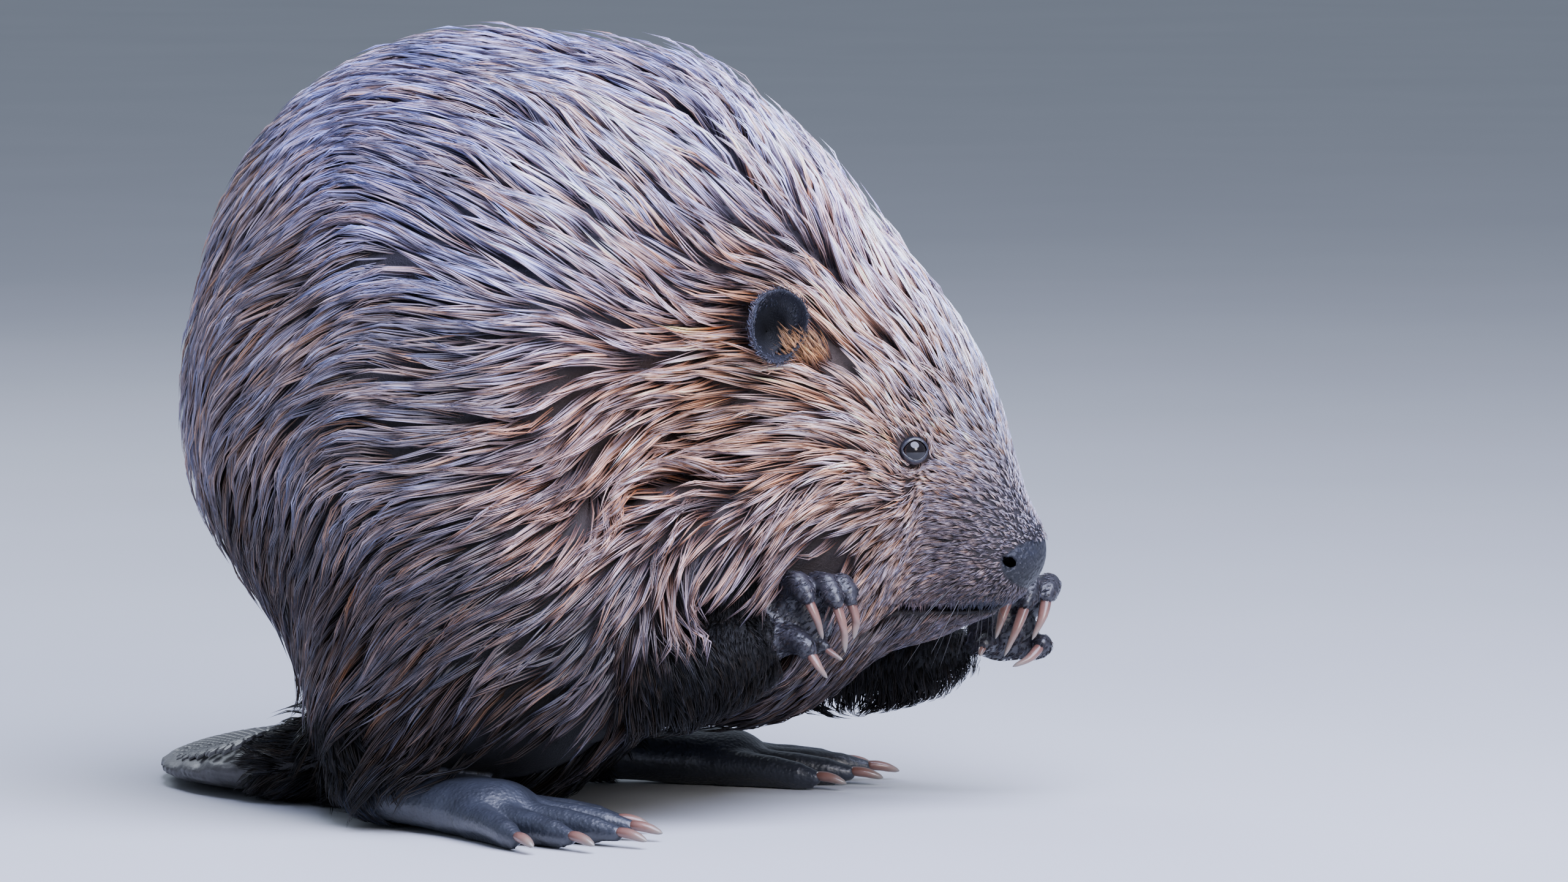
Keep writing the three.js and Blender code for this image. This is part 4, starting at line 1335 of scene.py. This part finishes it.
# A scale's points: three rings of corners, the middle of its top and the middle of its underside.
SCALE_RINGS = (SCALE_CORNERS, SCALE_CORNERS, SCALE_CORNERS, 1, 1)
SCALE_POINTS = sum(SCALE_RINGS)
SCALE_SIZES, SCALE_HEIGHTS = (1.0, 0.9, 0.6, 0, 0), (-0.5, 0.3, 0.75, 0.87, -0.6)
SCALE_OVERLAP = 0.57  # half a scale's size, as a share of the room that it has
SCALE_TILT, SCALE_CHANCE = 0.06, (0.92, 1.08)  # how far a scale rises to its end, and how its size varies


def make_eye(side):
    out, ahead, up = eye_axes(side)
    across = np.linspace(-math.pi / 2, math.pi / 2, EYE_RINGS)
    centres = eye_centre(side) + out * (EYE["radius"] * np.sin(across))[:, None]
    half = EYE["radius"] * np.cos(across)
    sides = np.tile(ahead, (EYE_RINGS, 1)), np.tile(up, (EYE_RINGS, 1))
    points, quads, ends = loft(centres, *sides, half, half, EYE_SIDES)
    if SIDES[side] > 0:
        quads, ends = quads[:, ::-1], ends[:, ::-1]
    piece = mesh_object(f"eyeball_{side}", points, quads, ends)
    piece.data.materials.append(eye_gloss())
    carry(piece, "eye_gloss", f"eye_{side}")


def claw(name, node, joints, girth, material):
    points, quads, ends = tube(joints, girth, CLAW_SIDES, CLAW_RINGS, CLAW_FLATNESS)
    piece = mesh_object(name, points, quads, ends)
    share = np.concatenate([[0], np.repeat(np.linspace(0, 1, CLAW_RINGS - 2), CLAW_SIDES), [1]])
    colours = np.stack([along(channel, share) for channel in zip(*CLAW_COLOURS)], 1)
    paint(piece.data, colours)
    piece.data.materials.append(material)
    carry(piece, "claw_horn", node)


def make_claws():
    """Five bowed claws on each paw, and five flatter ones on each foot."""
    material = claw_horn()
    for side in SIDES:
        palm = np.array(PALMS[side], float)
        for i, finger in enumerate(FINGERS[side]):
            _root, knuckle, claw_root, tip = (np.array(joint, float) for joint in finger)
            start = between(claw_root, knuckle, CLAW_START)
            away = unit(claw_root - palm)
            middle = between(start, tip, CLAW_MIDDLE) + away * CLAW_BOW * (1 if i else THUMB["bow"])
            girth = [g * (1 if i else THUMB["claw"]) for g in FINGER_CLAW]
            way = [start, middle, tip]
            claw(f"claw_{side}_fore_{i + 1}", f"claw_fore_{side}_{i + 1}", way, girth, material)
        for i in range(5):
            root = toe_way(i, (0.95,), (TOE_HEIGHTS[2] + 1.5,))[0]
            angle = math.radians((i - 2) * TOE_SPREAD)
            reach = TOE_CLAW_LENGTH + 0.05 * TOE_LENGTHS[i]
            way = [
                (root[0] + math.cos(angle) * reach * t, root[1] + math.sin(angle) * reach * t,
                 root[2] - TOE_CLAW_DROP * t * t)
                for t in (0, 0.5, 1)
            ]
            way = on_foot(side, way)
            claw(f"claw_{side}_hind_{i + 1}", f"claw_hind_{side}_{i + 1}", way, TOE_CLAW, material)


def make_whiskers():
    """Stiff hairs in rows on the lip pads."""
    material = whisker_hair()
    points, quads, ends = [], [], []
    for sign in SIDES.values():
        for row, place in itertools.product(range(WHISKER_ROWS), range(WHISKERS_IN_ROW)):
            x = 240 - 4.5 * place + rng.uniform(-1, 1)
            start = np.array((x, sign * (15 + 1.6 * place), 108 - 5 * row))
            _off, normal = skin_normals(start[None])
            start = start - normal[0] * (skin_surface(start[None])[0] + 0.4)
            lean = np.array((0.35 - 0.28 * place, 0, -0.25 - 0.2 * row))
            way = unit(normal[0] + lean + rng.normal(0, 0.08, 3))
            length = rng.uniform(*WHISKER_LENGTH) * (0.8 + 0.1 * place)
            droop = WHISKER_DROOP * length
            joints = [start, start + way * length * 0.5 + droop * 0.2, start + way * length + droop]
            made, faces, caps = tube(joints, WHISKER_GIRTH, sides=5, rings=10)
            quads.append(faces + sum(map(len, points)))
            ends.append(caps + sum(map(len, points)))
            points.append(made)
    piece = mesh_object("whiskers", np.vstack(points), np.vstack(quads), np.vstack(ends))
    piece.data.materials.append(material)
    carry(piece, "dark_coat")


def scale_faces():
    """Faces of one scale, over the points that SCALE_RINGS gives."""
    faces = []
    for i in range(SCALE_CORNERS):
        j = (i + 1) % SCALE_CORNERS
        for ring in (0, SCALE_CORNERS):
            low, high = ring, ring + SCALE_CORNERS
            faces += [(low + i, low + j, high + j), (low + i, high + j, high + i)]
        top = 2 * SCALE_CORNERS
        faces += [(top + i, top + j, SCALE_POINTS - 2), (j, i, SCALE_POINTS - 1)]
    return np.array(faces)


def tail_rows():
    """The middle of each row of scales, the ways ahead and aside, and the tail's half width and height."""
    dense = smooth_path(TAIL["spine"], np.linspace(0, 1, 60))
    whole = np.linalg.norm(np.diff(dense, axis=0), axis=1).sum()
    rows = int(whole * (1 - SCALES_BEGIN) / (SCALE_LENGTH * 0.8))
    shares = np.linspace(SCALES_BEGIN, 0.985, rows)
    fullness = np.minimum(1, END_ROUNDING * np.sin(np.arccos(1 - 2 * shares)))
    spine = smooth_path(TAIL["spine"], shares)
    ahead = unit(np.gradient(spine, axis=0) * (1, 1, 0))
    aside = np.stack([-ahead[:, 1], ahead[:, 0], np.zeros(rows)], 1)
    width = (along(TAIL["half_width"], shares) - SHORT_HAIR_DEPTH) * fullness
    height = (along(TAIL["half_height"], shares) - SHORT_HAIR_DEPTH) * fullness
    return spine, ahead, aside, width, height


def scale_points(offset, middle, ahead, aside, width, height):
    """The points of one scale, at an offset to the side of its row's middle."""
    size = np.repeat(SCALE_SIZES, SCALE_RINGS) * rng.uniform(*SCALE_CHANCE)
    corner = np.linspace(0, 2 * math.pi, SCALE_CORNERS, endpoint=False)
    turn = np.concatenate([corner, corner, corner, [0], [0]])
    along_it = np.cos(turn) * size * SCALE_LENGTH * SCALE_OVERLAP
    across_it = offset + np.sin(turn) * size * SCALE_WIDTH * SCALE_OVERLAP
    dome = height * np.sqrt(np.maximum(0, 1 - (across_it / max(width, 1)) ** 2))
    made = middle + ahead * along_it[:, None] + aside * across_it[:, None]
    made[:, 2] += dome + np.repeat(SCALE_HEIGHTS, SCALE_RINGS) + SCALE_TILT * along_it
    return made


def make_tail_scales():
    """Flat six-sided scales in staggered rows over the top of the tail."""
    made = []
    for i, row in enumerate(zip(*tail_rows())):
        width = row[3]
        count = max(2, int(2 * width * 0.94 / SCALE_WIDTH))
        stagger = 0.25 if i % 2 else -0.25
        for offset in (np.arange(count) - (count - 1) / 2 + stagger) * SCALE_WIDTH:
            made.append(scale_points(offset, *row))
    faces = np.vstack([scale_faces() + i * SCALE_POINTS for i in range(len(made))])
    piece = mesh_object("tail_plates", np.vstack(made), faces)
    shade = np.repeat(np.exp(rng.normal(0, 0.16, len(made))), SCALE_POINTS)
    paint(piece.data, np.array(TAIL_TINT) * shade[:, None])
    piece.data.polygons.foreach_set("use_smooth", np.zeros(len(piece.data.polygons), bool))
    piece.data.materials.append(scale_horn())
    carry(piece, "tail_scales")


# ---------------------------------------------------------------- materials
SHEEN_ROUGHNESS, SHEEN_TINT = 0.4, (0.62, 0.72, 1.0, 1.0)
CLAW_GLOW, GLOW_REACH = 0.12, (0.003, 0.001, 0.0006)  # light that enters the claws and comes out again
EYE_TINTS = (0.002, 0.002, 0.003), (0.008, 0.005, 0.005)
WHISKER_TINTS = (0.012, 0.011, 0.012), (0.05, 0.045, 0.045)


def new_material(name, roughness, specular=0.5, coat=0.0, coat_roughness=0.1):
    """A material with its tree of nodes and its shader, set as given."""
    material = bpy.data.materials.new(name)
    material.use_nodes = True
    tree = material.node_tree
    shader = tree.nodes["Principled BSDF"]
    shader.inputs["Roughness"].default_value = roughness
    shader.inputs["Specular IOR Level"].default_value = specular
    shader.inputs["Coat Weight"].default_value = coat
    shader.inputs["Coat Roughness"].default_value = coat_roughness
    return material, tree, shader


def node(tree, kind, links=(), **values):
    """A node with its settings and values, and its inputs linked to other nodes' outputs."""
    made = tree.nodes.new(kind)
    for name, value in values.items():
        if hasattr(made, name):
            setattr(made, name, value)
        else:
            made.inputs[name.replace("_", " ")].default_value = value
    for socket, source in dict(links).items():
        tree.links.new(source, made.inputs[socket])
    return made


def place(tree):
    return node(tree, "ShaderNodeTexCoord").outputs["Object"]


def mottled(tree, shader, scale, dark, light):
    """Colours a shader with noise between two colours."""
    noise = node(tree, "ShaderNodeTexNoise", {"Vector": place(tree)}, Scale=scale)
    ramp = node(tree, "ShaderNodeValToRGB", {"Fac": noise.outputs["Fac"]})
    ramp.color_ramp.elements[0].color = (*dark, 1)
    ramp.color_ramp.elements[1].color = (*light, 1)
    tree.links.new(ramp.outputs["Color"], shader.inputs["Base Color"])


def tinted(tree, shader, scale, low, high):
    """Colours a shader with the mesh's own tint, made lighter and darker by fine noise."""
    tint = node(tree, "ShaderNodeAttribute", attribute_name="tint")
    noise = node(tree, "ShaderNodeTexNoise", {"Vector": place(tree)}, Scale=scale, Detail=4.0)
    reach = node(tree, "ShaderNodeMapRange", {"Value": noise.outputs["Fac"]}, To_Min=low, To_Max=high)
    mixed = node(tree, "ShaderNodeVectorMath", {0: tint.outputs["Color"]}, operation="SCALE")
    tree.links.new(reach.outputs["Result"], mixed.inputs["Scale"])
    tree.links.new(mixed.outputs["Vector"], shader.inputs["Base Color"])


def bump(tree, shader, height, strength, distance, under=None):
    """Adds relief to a shader, over any relief given."""
    made = node(tree, "ShaderNodeBump", {"Height": height}, Strength=strength, Distance=distance)
    if under:
        tree.links.new(under.outputs["Normal"], made.inputs["Normal"])
    tree.links.new(made.outputs["Normal"], shader.inputs["Normal"])
    return made


def fur(name, roughness, specular, sheen):
    material, tree, shader = new_material(name, roughness, specular)
    tinted(tree, shader, scale=900.0, low=0.75, high=1.25)
    shader.inputs["Sheen Weight"].default_value = sheen
    shader.inputs["Sheen Roughness"].default_value = SHEEN_ROUGHNESS
    shader.inputs["Sheen Tint"].default_value = SHEEN_TINT
    return material


def under_coat():
    material, tree, shader = new_material("under_coat", roughness=0.62, specular=0.3)
    tinted(tree, shader, scale=700.0, low=0.55, high=1.4)
    fine = node(tree, "ShaderNodeTexNoise", {"Vector": place(tree)}, Scale=1400.0, Detail=3.0)
    bump(tree, shader, fine.outputs["Fac"], strength=0.6, distance=0.0006)
    return material


def creased(name, roughness, pebbles, depth, specular=0.5, coat=0.25):
    """Bare damp skin: small pebbles and finer creases."""
    material, tree, shader = new_material(name, roughness, specular, coat, coat_roughness=0.25)
    tinted(tree, shader, scale=260.0, low=0.7, high=1.35)
    cells = node(tree, "ShaderNodeTexVoronoi", {"Vector": place(tree)}, Scale=pebbles, feature="SMOOTH_F1")
    grain = node(tree, "ShaderNodeTexNoise", {"Vector": place(tree)}, Scale=pebbles * 3.1, Detail=5.0)
    under = bump(tree, shader, cells.outputs["Distance"], strength=0.75, distance=-depth)
    bump(tree, shader, grain.outputs["Fac"], strength=0.35, distance=depth * 0.6, under=under)
    smoothest, roughest = roughness - 0.1, roughness + 0.16
    wet = node(
        tree, "ShaderNodeMapRange", {"Value": grain.outputs["Fac"]}, To_Min=smoothest, To_Max=roughest
    )
    tree.links.new(wet.outputs["Result"], shader.inputs["Roughness"])
    return material


def bare_skin():
    return creased("bare_skin", roughness=0.38, pebbles=620.0, depth=0.0005)


def nose_skin():
    return creased("nose_leather", roughness=0.42, pebbles=480.0, depth=0.0032, specular=0.35, coat=0.08)


def tail_skin():
    return creased("tail_skin", roughness=0.5, pebbles=240.0, depth=0.0012)


def scale_horn():
    return creased("tail_scale_horn", roughness=0.45, pebbles=900.0, depth=0.0002)


def claw_horn():
    material, tree, shader = new_material("claw_horn", roughness=0.3, coat=0.3, coat_roughness=0.15)
    tinted(tree, shader, scale=300.0, low=0.8, high=1.2)
    grain = node(tree, "ShaderNodeTexNoise", {"Vector": place(tree)}, Scale=800.0, Detail=4.0)
    bump(tree, shader, grain.outputs["Fac"], strength=0.25, distance=0.0002)
    shader.inputs["Subsurface Weight"].default_value = CLAW_GLOW
    shader.inputs["Subsurface Radius"].default_value = GLOW_REACH
    return material


def eye_gloss():
    material, tree, shader = new_material("eye_gloss", roughness=0.03, coat=0.2, coat_roughness=0.02)
    mottled(tree, shader, 400.0, *EYE_TINTS)
    return material


def whisker_hair():
    material, tree, shader = new_material("whisker_hair", roughness=0.35)
    mottled(tree, shader, 60.0, *WHISKER_TINTS)
    return material


# ---------------------------------------------------------------- the studio
VIEW_DISTANCE, VIEW_HEIGHT, LENS = 4.0, math.radians(5), 200.8
VIEW_TARGET = np.array((0.1456, 0, 0.1675))
FLOOR_REACH, FLOOR_TINTS = 30, ((0.50, 0.51, 0.53), (0.55, 0.56, 0.58))
SENSOR_WIDTH = 36
SKY, SKY_STRENGTH = (0.70, 0.80, 1.0, 1), 0.42
LIT_POINT = (0.06, 0, 0.2)
LIGHTS = {  # place, size, power and colour
    "overhead": ((0.62, -0.9, 1.8), 2.2, 180, (0.65, 0.70, 1.0)),
    "front": ((1.3, -2.2, 1.2), 1.0, 34, (1.0, 0.94, 0.90)),
    "behind": ((-1.2, 1.8, 1.6), 1.2, 26, (0.80, 0.88, 1.0)),
}


def aim(thing, target):
    way = np.array(target) - np.array(thing.location)
    flat = math.hypot(way[0], way[1])
    thing.rotation_euler = (math.atan2(flat, -way[2]), 0, math.atan2(-way[0], way[1]))


def make_camera():
    lens = bpy.data.cameras.new("camera")
    lens.lens = LENS
    lens.sensor_width = SENSOR_WIDTH
    camera = bpy.data.objects.new("camera", lens)
    back = VIEW_DISTANCE * math.cos(VIEW_HEIGHT)
    camera.location = VIEW_TARGET + (0, -back, VIEW_DISTANCE * math.sin(VIEW_HEIGHT))
    aim(camera, VIEW_TARGET)
    bpy.context.collection.objects.link(camera)
    bpy.context.scene.camera = camera


def area_light(name, location, size, power, colour):
    light = bpy.data.lights.new(name, "AREA")
    light.shape = "DISK"
    light.size = size
    light.energy = power
    light.color = colour
    lamp = bpy.data.objects.new(name, light)
    lamp.location = location
    aim(lamp, LIT_POINT)
    bpy.context.collection.objects.link(lamp)


def make_studio():
    """A pale floor, a cold even sky and three lamps."""
    corners = np.array([(-1, -1, 0), (1, -1, 0), (1, 1, 0), (-1, 1, 0)]) * FLOOR_REACH
    floor = mesh_object("floor", corners / MM, [(0, 1, 2, 3)])
    material, tree, shader = new_material("pale_floor", roughness=0.75, specular=0.2)
    mottled(tree, shader, 3.0, *FLOOR_TINTS)
    floor.data.materials.append(material)
    floor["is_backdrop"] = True
    world = bpy.data.worlds.new("studio")
    world.use_nodes = True
    sky = world.node_tree.nodes["Background"]
    sky.inputs["Color"].default_value = SKY
    sky.inputs["Strength"].default_value = SKY_STRENGTH
    bpy.context.scene.world = world
    for name, settings in LIGHTS.items():
        area_light(name, *settings)


def main():
    """Loads the solids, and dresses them."""
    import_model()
    make_camera()
    make_studio()
    points, part = make_skin()
    for side in SIDES:
        make_eye(side)
    make_claws()
    make_whiskers()
    make_tail_scales()
    make_coat(points, part)


main()
